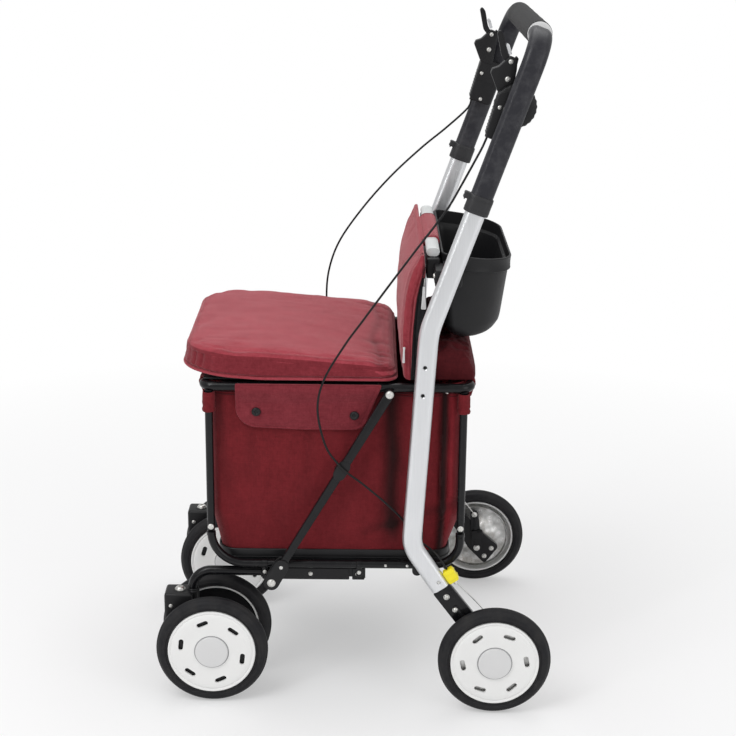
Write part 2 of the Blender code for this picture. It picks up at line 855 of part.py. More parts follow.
def basket(parent):
    """Tapers to its rounded floor, is rounder at its rear corners, and its rim falls to the rear.
    It hangs on the cross bar's clamps by an ear on each side. Its floor starts behind the arc of
    the seat ring's rear bar, which swings up when the frame folds."""
    front = BAR_X + BAR_WIDTH / 2 + LOOP_THICKNESS + 2 * GAP
    rear, half = BASKET_REAR, BASKET_HALF_WIDTH
    loops = (
        (BASKET_FLOOR_Z, front + 0.0225, rear - 0.0438, half - 0.0285, 0.016),
        (BASKET_FLOOR_Z + 0.0050, front + 0.0160, rear - 0.0278, half - 0.0205, 0.036),
        (BASKET_FLOOR_Z + 0.0145, front + 0.0088, rear - 0.0163, half - 0.0155, 0.054),
        (BASKET_FLOOR_Z + 0.0300, front + 0.0055, rear - 0.0113, half - 0.0125, 0.060),
        (BASKET_RIM_Z - 0.0220, front + 0.0010, rear - 0.0035, half - 0.0035, 0.062),
        (BASKET_RIM_Z - 0.0210, front, rear - 0.0005, half - 0.0005, BASKET_REAR_CORNER),
        (BASKET_RIM_Z, front, rear, half, BASKET_REAR_CORNER),
    )
    shell = open_box("basket", loops, BASKET_WALL, BASKET_FRONT_CORNER, math.radians(18))
    inside_floor = BASKET_FLOOR_Z + BASKET_WALL
    for vert in shell.data.vertices:
        up = max(0.0, (vert.co.z - inside_floor) / (BASKET_RIM_Z - inside_floor))
        vert.co.z -= BASKET_RIM_FALL * up * (vert.co.x - front) / (rear - front)
    shell = as_mesh(shell)
    for vert in shell.data.vertices:
        if abs(vert.co.z - inside_floor) < GAP:
            vert.co.z = inside_floor
    ear_low = CLAMP_TOP - CLAMP_STEP + GAP
    for side in SIDES.values():
        low_y, high_y = sorted((side * (half - BASKET_WALL), side * (half + EAR_REACH)))
        ear = box(
            "ear",
            (EAR_X - EAR_LENGTH / 2, low_y, ear_low),
            (EAR_X + EAR_LENGTH / 2, high_y, ear_low + EAR_THICKNESS),
        )
        join(shell, ear)
    finish(shell, "basket", black_plastic, parent)


def seat_ring_tube(parent):
    """The closed tube under the seat, with its pivot bosses, strut lugs and post tongues."""
    corners = (
        (RING_FRONT, -RING_Y, SEAT_PIVOT_Z),
        (RING_REAR, -RING_Y, SEAT_PIVOT_Z),
        (RING_REAR, RING_Y, SEAT_PIVOT_Z),
        (RING_FRONT, RING_Y, SEAT_PIVOT_Z),
    )
    path = rounded_path(corners, [RING_CORNER] * 4, math.radians(23), closed=True)
    ring = round_tube("seat_ring", path, RING_RADIUS, closed=True)
    boss_end = TUBE_Y - TUBE_DEPTH / 2 - GAP
    for side in SIDES.values():
        join(
            ring,
            across("boss", FOLD_X, SEAT_PIVOT_Z, RING_Y, boss_end, PIVOT_BOSS_RADIUS, side),
            across("lug", *STRUT_TOP, RING_Y, STRUT_INNER - GAP, BOLT_HEAD_RADIUS, side),
        )
        for x in (FRONT_POST_X, REAR_POST_X):
            join(ring, tongue(x, POST_PIVOT_Z, SEAT_PIVOT_Z, side))
            boolean(ring, pin_hole(x, POST_PIVOT_Z, side))
    finish(ring, "seat_ring", black_paint, parent)


def tongue(x, pivot_z, root_z, side):
    """A flat tongue round a post's pivot, which runs to the tube that carries it."""
    outline = capsule((x, pivot_z), TONGUE_RADIUS, (x, root_z), TONGUE_RADIUS - 0.0001, 6)
    half = TONGUE_THICKNESS / 2
    return plate("tongue", outline, RING_Y - half, RING_Y + half, side, (x, pivot_z))


def pin_hole(x, z, side):
    reach = TONGUE_THICKNESS
    return across("hole", x, z, RING_Y - reach, RING_Y + reach, PIN_RADIUS + GAP, side, 10)


def post(name, x, side, parent):
    """An upright link, slotted at both ends over the tongues, with a pin across each slot."""
    top = POST_PIVOT_Z + POST_OVERRUN
    low = POST_PIVOT_Z - LINK_DROP - POST_OVERRUN
    y = side * RING_Y
    rod = cylinder(name, (x, y, low), (x, y, top), POST_RADIUS, 14)
    half = TONGUE_THICKNESS / 2 + GAP
    depth = POST_OVERRUN + TONGUE_RADIUS + 0.003
    reach = POST_RADIUS * 1.5
    for start, end in ((top - depth, top + 0.001), (low - 0.001, low + depth)):
        slot = box(name + "_slot", (x - reach, y - half, start), (x + reach, y + half, end))
        boolean(rod, slot)
    for pivot_z in (POST_PIVOT_Z, POST_PIVOT_Z - LINK_DROP):
        outside = RING_Y + POST_RADIUS + PIN_HEAD_PROUD
        inside = RING_Y - POST_RADIUS
        pin = across("pin", x, pivot_z, inside + 0.001, outside - 0.0005, PIN_RADIUS, side, 10)
        head = across(
            "pin_head", x, pivot_z, outside - 0.0035, outside, PIN_HEAD_RADIUS, side, 12
        )
        join(rod, pin, head)
    finish(rod, name, black_paint, parent)


def strut(side_name, side, parent):
    """The diagonal brace, with the forked foot, its slide bolt and the cable clip."""
    outer = STRUT_INNER + STRUT_THICKNESS
    half = STRUT_WIDTH / 2
    bar = plate(
        "strut", capsule(STRUT_TOP, half + 0.0015, STRUT_FOOT, half), STRUT_INNER, outer, side,
        STRUT_TOP,
    )
    along = (STRUT_FOOT - STRUT_TOP).normalized()
    sleeve_top = STRUT_FOOT - along * 0.028
    foot = capsule(STRUT_FOOT, CHEEK_RADIUS, sleeve_top, CHEEK_RADIUS - 0.001)
    cheeks = plate(
        "cheeks", foot, STRUT_INNER - CHEEK_THICKNESS, outer + CHEEK_THICKNESS, side, STRUT_FOOT
    )
    rail_face = CASTER_Y + SIDE_RAIL_SECTION / 2
    bolt = across(
        "slide_bolt", *STRUT_FOOT, rail_face + GAP, STRUT_INNER, BOLT_RADIUS, side, 12
    )
    middle = STRUT_TOP + along * CLIP_FROM_TOP
    span = along * CLIP_SIZE / 2
    clip = plate(
        "clip",
        capsule(middle - span, 0.0085, middle + span, 0.0084, 5),
        outer - 0.004,
        outer + CLIP_PROUD,
        side,
        middle,
    )
    head = across(
        "bolt_head", *STRUT_TOP, outer - 0.001, outer + BOLT_HEAD_PROUD, BOLT_HEAD_RADIUS, side, 12
    )
    join(bar, cheeks, bolt, clip, head)
    finish(bar, f"strut_{side_name}", black_paint, parent)


def base_rail(side_name, side, parent):
    """A rail with upturned ends and tongues, and the strap that hinges it to the side tube."""
    y = side * RING_Y
    shoulder = POST_PIVOT_Z - LINK_DROP - SHOULDER
    corners = (
        (FRONT_POST_X, y, shoulder),
        (FRONT_POST_X, y, RAIL_Z),
        (REAR_POST_X, y, RAIL_Z),
        (REAR_POST_X, y, shoulder),
    )
    path = rounded_path(corners, (RAIL_FRONT_BEND, RAIL_REAR_BEND), math.radians(18))
    rail = round_tube("base_rail", path, RAIL_RADIUS)
    low_pivot = POST_PIVOT_Z - LINK_DROP
    for x in (FRONT_POST_X, REAR_POST_X):
        join(rail, tongue(x, low_pivot, shoulder - 0.006, side))
        boolean(rail, pin_hole(x, low_pivot, side))
    strap_outer = TUBE_Y - TUBE_DEPTH / 2 - GAP
    strap_inner = strap_outer - STRAP_THICKNESS
    hinge = (FOLD_X, SEAT_PIVOT_Z - LINK_DROP)
    foot = (FOLD_X, RAIL_Z)
    outline = capsule(hinge, STRAP_WIDTH / 2, foot, STRAP_WIDTH / 2 - 0.0001)
    join(
        rail,
        plate("strap", outline, strap_inner, strap_outer, side, hinge),
        across("foot", *foot, RING_Y, strap_inner + 0.001, RAIL_RADIUS - 0.0005, side, 12),
    )
    rail_face = CASTER_Y + SIDE_RAIL_SECTION / 2 + GAP
    for x in SADDLE_STATIONS:
        low_y, high_y = sorted((side * rail_face, side * (RING_Y + 0.003)))
        half = SADDLE_LENGTH / 2
        join(rail, box("saddle", (x - half, low_y, SIDE_RAIL_Z), (x + half, high_y, RAIL_Z)))
    finish(rail, f"base_rail_{side_name}", black_paint, parent)


def side_rail(side_name, side, parent):
    """A square rail beside the tray, socketed for the front tube and notched underneath."""
    half = SIDE_RAIL_SECTION / 2
    y = side * CASTER_Y
    rail = box(
        "side_rail",
        (SIDE_RAIL_FRONT, y - half, SIDE_RAIL_Z - half),
        (SIDE_RAIL_REAR, y + half, SIDE_RAIL_Z + half),
        bevel=0.0015,
        segments=1,
    )
    socket = cylinder(
        "socket",
        (SIDE_RAIL_FRONT - 0.002, y, SIDE_RAIL_Z),
        (SIDE_RAIL_FRONT + SIDE_RAIL_SOCKET, y, SIDE_RAIL_Z),
        FRONT_TUBE_RADIUS + GAP,
    )
    notch = box(
        "notch",
        (NOTCH_X - NOTCH_WIDTH / 2, y - half - 0.002, SIDE_RAIL_Z - half - 0.002),
        (NOTCH_X + NOTCH_WIDTH / 2, y + half + 0.002, SIDE_RAIL_Z - half + NOTCH_DEPTH),
    )
    boolean(rail, socket)
    boolean(rail, notch)
    finish(rail, f"side_rail_{side_name}", black_paint, parent)


def front_tube(side_name, side, parent):
    """From its socket in the caster head up and back into the side rail."""
    y = side * CASTER_Y
    bottom = HEAD_TOP - FRONT_TUBE_SOCKET + GAP
    end = SIDE_RAIL_FRONT + SIDE_RAIL_SOCKET - GAP
    corners = ((FRONT_TUBE_X, y, bottom), (FRONT_TUBE_X, y, SIDE_RAIL_Z), (end, y, SIDE_RAIL_Z))
    path = rounded_path(corners, (FRONT_TUBE_BEND,), math.radians(16))
    tube = round_tube("front_tube", path, FRONT_TUBE_RADIUS)
    finish(tube, f"front_tube_{side_name}", black_paint, parent)


def caster_head(side_name, side, parent):
    """The block that joins a front tube to the caster's stem."""
    y = side * CASTER_Y
    block = box(
        "caster_head",
        (SWIVEL_X - HEAD_FRONT, y - HEAD_HALF_WIDTH, HEAD_BOTTOM),
        (FRONT_TUBE_X, y + HEAD_HALF_WIDTH, HEAD_TOP),
        bevel=HEAD_BEVEL,
    )
    boss = cylinder(
        "boss", (FRONT_TUBE_X, y, HEAD_TOP - HEAD_BOSS_HEIGHT), (FRONT_TUBE_X, y, HEAD_TOP),
        HEAD_BOSS_RADIUS,
    )
    stem_bore = cylinder(
        "stem_bore", (SWIVEL_X, y, HEAD_BOTTOM - 0.002), (SWIVEL_X, y, HEAD_TOP + 0.002),
        STEM_RADIUS + GAP,
    )
    socket = cylinder(
        "tube_socket", (FRONT_TUBE_X, y, HEAD_TOP - FRONT_TUBE_SOCKET),
        (FRONT_TUBE_X, y, HEAD_TOP + 0.002), FRONT_TUBE_RADIUS + GAP,
    )
    join(block, boss)
    boolean(block, stem_bore)
    boolean(block, socket)
    finish(block, f"caster_head_{side_name}", black_plastic, parent)


def caster_fork(side_name, side, parent):
    """One arm between the twin wheels, with its swivel disc, stem, hub boss and axle."""
    y = side * CASTER_Y
    half = FORK_ARM_WIDTH / 2
    axle = (FRONT_X, TYRE_RADIUS)
    disc_top = FORK_DISC_BOTTOM + FORK_DISC_THICKNESS
    low = circle(axle, FORK_BOSS_RADIUS, math.radians(50), math.radians(-110), 8)
    outline = [
        (SWIVEL_X - 0.015, FORK_DISC_BOTTOM + 0.001),
        (SWIVEL_X + 0.020, FORK_DISC_BOTTOM + 0.001),
        *low,
        (SWIVEL_X - 0.008, 0.0850),
    ]
    arm = plate("caster_fork", outline, CASTER_Y - half, CASTER_Y + half, side, axle)
    boss_half = TWIN_HALF - hub_inner_offset() - RUNNING
    axle_half = TWIN_HALF - hub_inner_offset() + AXLE_IN_HUB
    disc = cylinder(
        "disc", (SWIVEL_X, y, FORK_DISC_BOTTOM), (SWIVEL_X, y, disc_top), FORK_DISC_RADIUS, 18
    )
    stem = cylinder(
        "stem", (SWIVEL_X, y, FORK_DISC_BOTTOM), (SWIVEL_X, y, HEAD_TOP + 0.001), STEM_RADIUS
    )
    head = cylinder(
        "stem_head", (SWIVEL_X, y, HEAD_TOP + RUNNING),
        (SWIVEL_X, y, HEAD_TOP + RUNNING + STEM_HEAD_HEIGHT), STEM_HEAD_RADIUS,
    )
    boss = across(
        "boss", *axle, CASTER_Y - boss_half, CASTER_Y + boss_half, HUB_RADIUS - 0.0015, side
    )
    pin = across("axle", *axle, CASTER_Y - axle_half, CASTER_Y + axle_half, AXLE_RADIUS, side)
    join(arm, disc, stem, head, boss, pin)
    finish(arm, f"caster_fork_{side_name}", black_plastic, parent)


def tray(parent):
    """A shallow pan on the side rails, which carries the bag."""
    low = SIDE_RAIL_Z + SIDE_RAIL_SECTION / 2 + GAP
    loops = (
        (low, TRAY_FRONT + 0.006, TRAY_REAR - 0.006, TRAY_HALF_WIDTH - 0.004, TRAY_CORNER - 0.004),
        (low + 0.006, TRAY_FRONT, TRAY_REAR, TRAY_HALF_WIDTH, TRAY_CORNER),
        (low + TRAY_HEIGHT, TRAY_FRONT, TRAY_REAR, TRAY_HALF_WIDTH, TRAY_CORNER),
    )
    pan = open_box("tray", loops, TRAY_WALL)
    finish(pan, "tray", black_plastic, parent)


def bag(parent):
    """A thin open bag that hangs inside the seat ring and stands in the tray."""
    half = RING_Y - RING_RADIUS - RUNNING
    front = RING_FRONT + RING_RADIUS + RUNNING
    rear = RING_REAR - RING_RADIUS - RUNNING
    tray_floor = SIDE_RAIL_Z + SIDE_RAIL_SECTION / 2 + GAP + TRAY_WALL
    inset = TRAY_WALL + RUNNING
    rim = SIDE_RAIL_Z + SIDE_RAIL_SECTION / 2 + GAP + TRAY_HEIGHT
    loops = (
        (tray_floor + GAP, TRAY_FRONT + inset + 0.006, TRAY_REAR - inset - 0.006,
         TRAY_HALF_WIDTH - inset - 0.005, BAG_CORNER),
        (rim + 0.001, TRAY_FRONT + inset, TRAY_REAR - inset, TRAY_HALF_WIDTH - inset,
         TRAY_CORNER - inset),
        (rim + 0.060, front, rear, half, BAG_CORNER),
        (BAG_TOP, front, rear, half, BAG_CORNER),
    )
    shell = open_box("bag", loops, BAG_WALL)
    finish(shell, "bag", red_fabric, parent)


def bag_flap(parent):
    """The closed flap of the side pocket, on the bag's left wall under the seat ring."""
    top = SEAT_PIVOT_Z - RING_RADIUS - GAP
    corners = (
        (FLAP_TOP_FRONT, top, 0.0),
        (FLAP_BOTTOM_FRONT, FLAP_BOTTOM, 0.0),
        (FLAP_BOTTOM_REAR, FLAP_BOTTOM, 0.0),
        (FLAP_TOP_REAR, top, 0.0),
    )
    radii = (0.003, 0.012, 0.012, 0.003)
    outline = rounded_path(corners, radii, math.radians(25), closed=True)
    bag_face = RING_Y - RING_RADIUS - RUNNING + GAP
    flap = plate(
        "bag_flap",
        [(point.x, point.y) for point in outline],
        bag_face,
        bag_face + FLAP_THICKNESS,
        -1,
        (0.0, top),
    )
    finish(flap, "bag_flap", red_fabric, parent)


def bag_hood(parent):
    """The fabric bulge over the rear of the seat ring, below the basket."""
    low = SEAT_PIVOT_Z + RING_RADIUS + GAP
    high = BASKET_FLOOR_Z - 0.0025
    front = FOLD_X + HOOD_FRONT_FROM_PIVOT
    rear = RING_REAR + HOOD_PAST_RING
    corners = (
        (front, low, 0.0),
        (front + 0.005, high - 0.004, 0.0),
        (front + 0.031, high, 0.0),
        (rear - 0.010, high - 0.010, 0.0),
        (rear - 0.0005, high - 0.038, 0.0),
        (rear, low, 0.0),
    )
    radii = (0.003, 0.008, 0.03, 0.008, 0.02, 0.003)
    outline = rounded_path(corners, radii, math.radians(20), closed=True)
    solid = plate(
        "bag_hood",
        [(point.x, point.y) for point in outline],
        -HOOD_HALF_WIDTH,
        HOOD_HALF_WIDTH,
        1,
        (FOLD_X, low),
    )
    finish(solid, "bag_hood", red_fabric, parent)


def handle_tube(parent):
    """The U-shaped flat oval tube, open at both lower ends, where the side tubes slide in."""
    leg_end = COLLAR_START + COLLAR_LIP
    corners = (
        handle_point(leg_end, 0.0, -TUBE_Y),
        handle_point(HANDLE_LENGTH, 0.0, -TUBE_Y),
        handle_point(HANDLE_LENGTH, 0.0, TUBE_Y),
        handle_point(leg_end, 0.0, TUBE_Y),
    )
    path = rounded_path(corners, (HANDLE_CORNER, HANDLE_CORNER), math.radians(15))
    tube = oval_tube("handle_tube", path, HANDLE_WIDTH, HANDLE_DEPTH, HANDLE_WALL)
    finish(tube, "handle_tube", black_paint, parent)


def handle_grip(parent):
    start = handle_point(HANDLE_LENGTH, 0.0, -GRIP_HALF_LENGTH)
    end = handle_point(HANDLE_LENGTH, 0.0, GRIP_HALF_LENGTH)
    grip = cylinder("handle_grip", start, end, GRIP_RADIUS, 24)
    past = Vector((0.0, 0.004, 0.0))
    core = oval_sleeve(
        "grip_core", start - past, end + past, HANDLE_WIDTH + 2 * GAP, HANDLE_DEPTH + 2 * GAP
    )
    boolean(grip, core)
    finish(grip, "handle_grip", foam, parent)


def oval_sleeve(name, start, end, width, depth):
    """A solid flat oval bar from start to end, its wide way square to the handle's plane."""
    along = (end - start).normalized()
    forward = Vector((-math.cos(LEAN), 0.0, math.sin(LEAN)))
    third = along.cross(forward)

    def build(builder):
        low = [
            builder.verts.new(start + forward * a + third * b) for a, b in stadium(width, depth)
        ]
        top = [
            builder.verts.new(end + forward * a + third * b) for a, b in stadium(width, depth)
        ]
        count = len(low)
        for index in range(count):
            following = (index + 1) % count
            builder.faces.new((low[index], low[following], top[following], top[index]))
        builder.faces.new(reversed(low))
        builder.faces.new(top)

    return mesh_object(name, build)


def collar(side_name, side, parent):
    """The plastic collar on a leg's lower end, with a boss for the height button."""
    y = side * TUBE_Y
    inner_width = HANDLE_WIDTH + 2 * GAP
    inner_depth = HANDLE_DEPTH + 2 * GAP
    ring = oval_sleeve(
        "collar",
        handle_point(COLLAR_START, 0.0, y),
        handle_point(COLLAR_START + COLLAR_LENGTH, 0.0, y),
        inner_width + 2 * COLLAR_WALL,
        inner_depth + 2 * COLLAR_WALL,
    )
    base = HANDLE_WIDTH / 2
    boss = cylinder(
        "button_boss",
        handle_point(BUTTON_AT, base - 0.004, y),
        handle_point(BUTTON_AT, base + 0.0045, y),
        BUTTON_RADIUS + 0.0022,
    )
    hole = oval_sleeve(
        "collar_hole",
        handle_point(COLLAR_START - 0.003, 0.0, y),
        handle_point(COLLAR_START + COLLAR_LENGTH + 0.003, 0.0, y),
        inner_width,
        inner_depth,
    )
    bore = cylinder(
        "button_bore",
        handle_point(BUTTON_AT, base - 0.002, y),
        handle_point(BUTTON_AT, base + 0.008, y),
        BUTTON_RADIUS + GAP,
    )
    join(ring, boss)
    boolean(ring, hole)
    boolean(ring, bore)
    finish(ring, f"collar_{side_name}", black_plastic, parent)


def height_button(side_name, side, parent):
    y = side * TUBE_Y
    inner_end = HANDLE_WIDTH / 2 + GAP + BUTTON_TRAVEL
    button = cylinder(
        "height_button",
        handle_point(BUTTON_AT, inner_end, y),
        handle_point(BUTTON_AT, inner_end + 0.002 + BUTTON_PROUD, y),
        BUTTON_RADIUS,
    )
    finish(button, f"height_button_{side_name}", black_plastic, parent)


def lever_housing(side_name, side, parent):
    """The brake lever's bracket over a long body on the leg's inner face, and the cable's sleeve.
    The left one also carries a round knob."""
    inner = HOUSING_Y - HOUSING_WIDTH / 2
    outer = HOUSING_Y + HOUSING_WIDTH / 2
    bracket = (
        (0.0262, 0.1455),
        (0.0440, 0.1660),
        (0.0435, 0.1715),
        (0.0370, 0.1765),
        (0.0310, 0.1880),
        (0.0280, 0.1935),
        (0.0180, 0.1930),
        (0.0140, 0.1800),
        (0.0080, 0.1455),
    )
    body = (
        (BODY_REAR, BODY_BOTTOM),
        (0.0225, BODY_BOTTOM),
        (0.0262, 0.1470),
        (0.0180, 0.1520),
        (BODY_REAR, 0.1500),
    )
    leg_face = TUBE_Y - HANDLE_DEPTH / 2
    pivot = handle_outline((LEVER_PIVOT,))[0]
    block = plate("lever_housing", handle_outline(bracket), inner, outer, side, pivot)
    long_body = plate(
        "body", handle_outline(body), inner + 0.0005, leg_face - GAP, side, pivot
    )
    sleeve = cylinder(
        "sleeve",
        handle_point(0.1460, 0.0188, side * HOUSING_Y),
        handle_point(SLEEVE_END.y, SLEEVE_END.x, side * HOUSING_Y),
        SLEEVE_RADIUS,
        12,
    )
    slot_half = LEVER_WIDTH / 2 + GAP
    slot_outline = handle_outline(
        ((0.0160, 0.1755), (0.0360, 0.1755), (0.0360, 0.2010), (0.0080, 0.2010))
    )
    slot = plate("slot", slot_outline, HOUSING_Y - slot_half, HOUSING_Y + slot_half, side)
    join(block, long_body, sleeve)
    if side_name == "left":
        knob_at = handle_point(KNOB_AT)
        knob = across(
            "knob", knob_at.x, knob_at.z, leg_face - GAP - KNOB_THICKNESS, leg_face - GAP - 0.0002,
            KNOB_RADIUS, side, KNOB_STEPS,
        )
        join(block, knob)
    boolean(block, slot)
    finish(block, f"lever_housing_{side_name}", black_plastic, parent)


def brake_lever(side_name, side, parent):
    """The lever's blade, hinged between the housing's cheeks."""
    pivot = Vector(handle_outline((LEVER_PIVOT,))[0])
    tip = Vector(handle_outline((LEVER_TIP,))[0])
    half = LEVER_WIDTH / 2
    blade = plate(
        "brake_lever",
        capsule(pivot, 0.0058, tip, LEVER_THICKNESS / 2),
        HOUSING_Y - half,
        HOUSING_Y + half,
        side,
        pivot,
    )
    finish(blade, f"brake_lever_{side_name}", black_plastic, parent)


def brake_arm(side_name, side, parent):
    outer = TUBE_Y - ARM_THICKNESS / 2 - GAP
    inner = outer - BRAKE_ARM_THICKNESS
    arm = plate(
        "brake_arm",
        capsule(BRAKE_PIVOT, BRAKE_BOSS_RADIUS, BRAKE_TIP, BRAKE_TIP_RADIUS),
        inner,
        outer,
        side,
        BRAKE_PIVOT,
    )
    finish(arm, f"brake_arm_{side_name}", zinc, parent)


def smooth_route(points, step):
    """Points at an even step along a smooth curve through the route's own points."""
    points = [Vector(point) for point in points]
    ends = [2 * points[0] - points[1], *points, 2 * points[-1] - points[-2]]
    fine = []
    for p0, p1, p2, p3 in zip(ends, ends[1:], ends[2:], ends[3:]):
        for index in range(20):
            t = index / 20
            fine.append(
                0.5
                * (
                    2 * p1
                    + (p2 - p0) * t
                    + (2 * p0 - 5 * p1 + 4 * p2 - p3) * t**2
                    + (3 * p1 - p0 - 3 * p2 + p3) * t**3
                )
            )
    fine.append(points[-1])
    length = sum((b - a).length for a, b in zip(fine, fine[1:]))
    count = round(length / step)
    route, walked, wanted = [fine[0]], 0.0, length / count
    for a, b in zip(fine, fine[1:]):
        stride = (b - a).length
        while walked + stride >= wanted - 1e-9 and len(route) < count:
            route.append(a.lerp(b, (wanted - walked) / stride))
            wanted += length / count
        walked += stride
    route.append(fine[-1])
    return route


def brake_cables():
    """Each cable runs from its lever housing out and down, over the strut's clip, behind the side
    tube and into its adjuster. The left one hangs in a lower bow than the right one."""
    start = handle_point(SLEEVE_END.y - GAP, SLEEVE_END.x, HOUSING_Y)
    leave = handle_point(SLEEVE_END.y - 0.014, SLEEVE_END.x + 0.0008, HOUSING_Y + 0.0008)
    along = (TUBE_END - LOWER_BEND).normalized()
    rearward = Vector((-along.y, along.x))
    inlet = (
        TUBE_END
        - along * (ADJUSTER_SETBACK + ADJUSTER_LENGTH / 2 + GAP)
        + rearward * (TUBE_WIDTH / 2 + GAP + ADJUSTER_HEIGHT / 2)
    )
    before_inlet = inlet - along * 0.009
    clip_y = STRUT_INNER + STRUT_THICKNESS + CLIP_PROUD + GAP + CABLE_RADIUS
    down_to_clip = {
        "left": (
            (0.1531, 0.1806, 0.7703),
            (0.1352, 0.1840, 0.7370),
            (0.1165, 0.1880, 0.7049),
            (0.0781, 0.1950, 0.6538),
            (0.0415, 0.2005, 0.6043),
            (0.0093, 0.2030, 0.5593),
            (-0.0128, 0.2035, 0.5278),
            (-0.0404, 0.2020, 0.4788),
            (-0.0490, 0.2000, 0.4360),
            (-0.0390, 0.1965, 0.3855),
            (-0.0235, 0.1935, 0.3590),
        ),
        "right": (
            (0.1320, 0.1800, 0.7560),
            (0.0950, 0.1900, 0.7230),
            (0.0500, 0.1990, 0.6780),
            (0.0080, 0.2040, 0.6280),
            (-0.0275, 0.2055, 0.5757),
            (-0.0440, 0.2045, 0.5300),
            (-0.0480, 0.2030, 0.4850),
            (-0.0440, 0.2000, 0.4300),
            (-0.0330, 0.1965, 0.3850),
            (-0.0210, 0.1935, 0.3570),
        ),
    }
    clip_to_adjuster = (
        (-0.0093, clip_y, 0.3424),
        (0.0112, 0.1905, 0.3275),
        (0.0415, 0.1860, 0.2995),
        (0.0663, 0.1820, 0.2730),
        (0.0900, 0.1815, 0.2420),
        (0.1075, 0.1845, 0.2285),
        (0.1180, 0.1935, 0.2210),
    )
    for side_name, side in SIDES.items():
        route = [start, leave]
        route += [Vector(point) for point in down_to_clip[side_name] + clip_to_adjuster]
        route += [Vector((before_inlet.x, TUBE_Y, before_inlet.y))]
        route += [Vector((inlet.x, TUBE_Y, inlet.y))]
        route = [Vector((point.x, side * point.y, point.z)) for point in route]
        cable = round_tube("brake_cable", smooth_route(route, CABLE_STEP), CABLE_RADIUS)
        finish(cable, f"brake_cable_{side_name}", cable_black, rear_frame)


def build_rear_frame():
    for side_name, side in SIDES.items():
        side_tube(side_name, side)
        rear_arm(side_name, side)
        cable_adjuster(side_name, side)
        pivot = carrier(
            f"brake_arm_pivot_{side_name}", (BRAKE_PIVOT.x, side * TUBE_Y, BRAKE_PIVOT.y), rear_frame
        )
        brake_arm(side_name, side, pivot)
        y = side * REAR_TRACK / 2
        spin = carrier(f"rear_axle_{side_name}", (REAR_X, y, TYRE_RADIUS), rear_frame)
        wheel(f"rear_wheel_{side_name}", REAR_X, y, side, spin)
    cross_bar_and_clamps()
    backrest_pad()
    brake_cables()
    basket(carrier("basket_lift", (BAR_X, 0.0, BASKET_RIM_Z), rear_frame))


def build_handle():
    handle = carrier("handle_slide", (COLLAR_X, 0.0, COLLAR_Z), rear_frame)
    handle_tube(handle)
    handle_grip(handle)
    for side_name, side in SIDES.items():
        collar(side_name, side, handle)
        press = carrier(
            f"button_{side_name}", handle_point(BUTTON_AT, HANDLE_WIDTH / 2, side * TUBE_Y), handle
        )
        height_button(side_name, side, press)
        lever_housing(side_name, side, handle)
        pivot = handle_point(LEVER_PIVOT.y, LEVER_PIVOT.x, side * HOUSING_Y)
        brake_lever(side_name, side, carrier(f"lever_pivot_{side_name}", pivot, handle))


def build_seat():
    seat = carrier("seat_pivot", (FOLD_X, 0.0, SEAT_PIVOT_Z), rear_frame)
    seat_ring_tube(seat)
    bag(seat)
    bag_flap(seat)
    bag_hood(seat)
    lid = carrier("lid_hinge", (CUSHION_REAR, 0.0, CUSHION_REAR_TOP), seat)
    board_low = SEAT_PIVOT_Z + RING_RADIUS + GAP
    board = box(
        "seat_board",
        (BOARD_FRONT, -BOARD_HALF_WIDTH, board_low),
        (BOARD_REAR, BOARD_HALF_WIDTH, board_low + BOARD_THICKNESS),
    )
    finish(board, "seat_board", black_plastic, lid)
    seat_cushion(lid)
    posts = {"front": FRONT_POST_X, "rear": REAR_POST_X}
    for end, x in posts.items():
        swing = carrier(f"{end}_posts_pivot", (x, 0.0, POST_PIVOT_Z), seat)
        for side_name, side in SIDES.items():
            post(f"{end}_post_{side_name}", x, side, swing)
    swing = carrier("struts_pivot", (STRUT_TOP.x, 0.0, STRUT_TOP.y), seat)
    for side_name, side in SIDES.items():
        strut(side_name, side, swing)


def build_base():
    base = carrier("base_pivot", (FOLD_X, 0.0, SEAT_PIVOT_Z - LINK_DROP), rear_frame)
    tray(base)
    for side_name, side in SIDES.items():
        base_rail(side_name, side, base)
        side_rail(side_name, side, base)
        front_tube(side_name, side, base)
        caster_head(side_name, side, base)
        y = side * CASTER_Y
        swivel = carrier(f"caster_{side_name}", (SWIVEL_X, y, HEAD_TOP), base)
        caster_fork(side_name, side, swivel)
        for place, outward in (("outer", side), ("inner", -side)):
            wheel_y = y + outward * TWIN_HALF
            name = f"front_wheel_{side_name}_{place}"
            spin = carrier(name + "_spin", (FRONT_X, wheel_y, TYRE_RADIUS), swivel)
            wheel(name, FRONT_X, wheel_y, outward, spin)


clear_scene()
carriers = {}
parts = collection(PARTS)
cutters = collection(CUTTERS)

red_fabric = material("red fabric", (0.30, 0.030, 0.045), 0.85)
satin_aluminium = material("satin aluminium", (0.66, 0.67, 0.69), 0.35, 1.0)
black_paint = material("black paint", (0.012, 0.012, 0.014), 0.30)
black_plastic = material("black plastic", (0.020, 0.020, 0.022), 0.45)
white_plastic = material("white plastic", (0.80, 0.80, 0.79), 0.40)
rubber = material("tyre rubber", (0.030, 0.030, 0.031), 0.80)
foam = material("grip foam", (0.060, 0.060, 0.062), 0.90)
yellow_plastic = material("yellow plastic", (0.90, 0.78, 0.04), 0.45)
zinc = material("zinc", (0.62, 0.62, 0.60), 0.35, 1.0)
cable_black = material("cable black", (0.015, 0.015, 0.015), 0.50)

rear_frame = carrier("rear_frame", (0.0, 0.0, 0.0))
build_rear_frame()
build_handle()
build_seat()
build_base()
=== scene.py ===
"""Looks of the shopping rollator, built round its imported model. Metres, +Z up."""

import math

import bmesh
import bpy
from mathutils import Matrix, Vector, noise
from mathutils.kdtree import KDTree


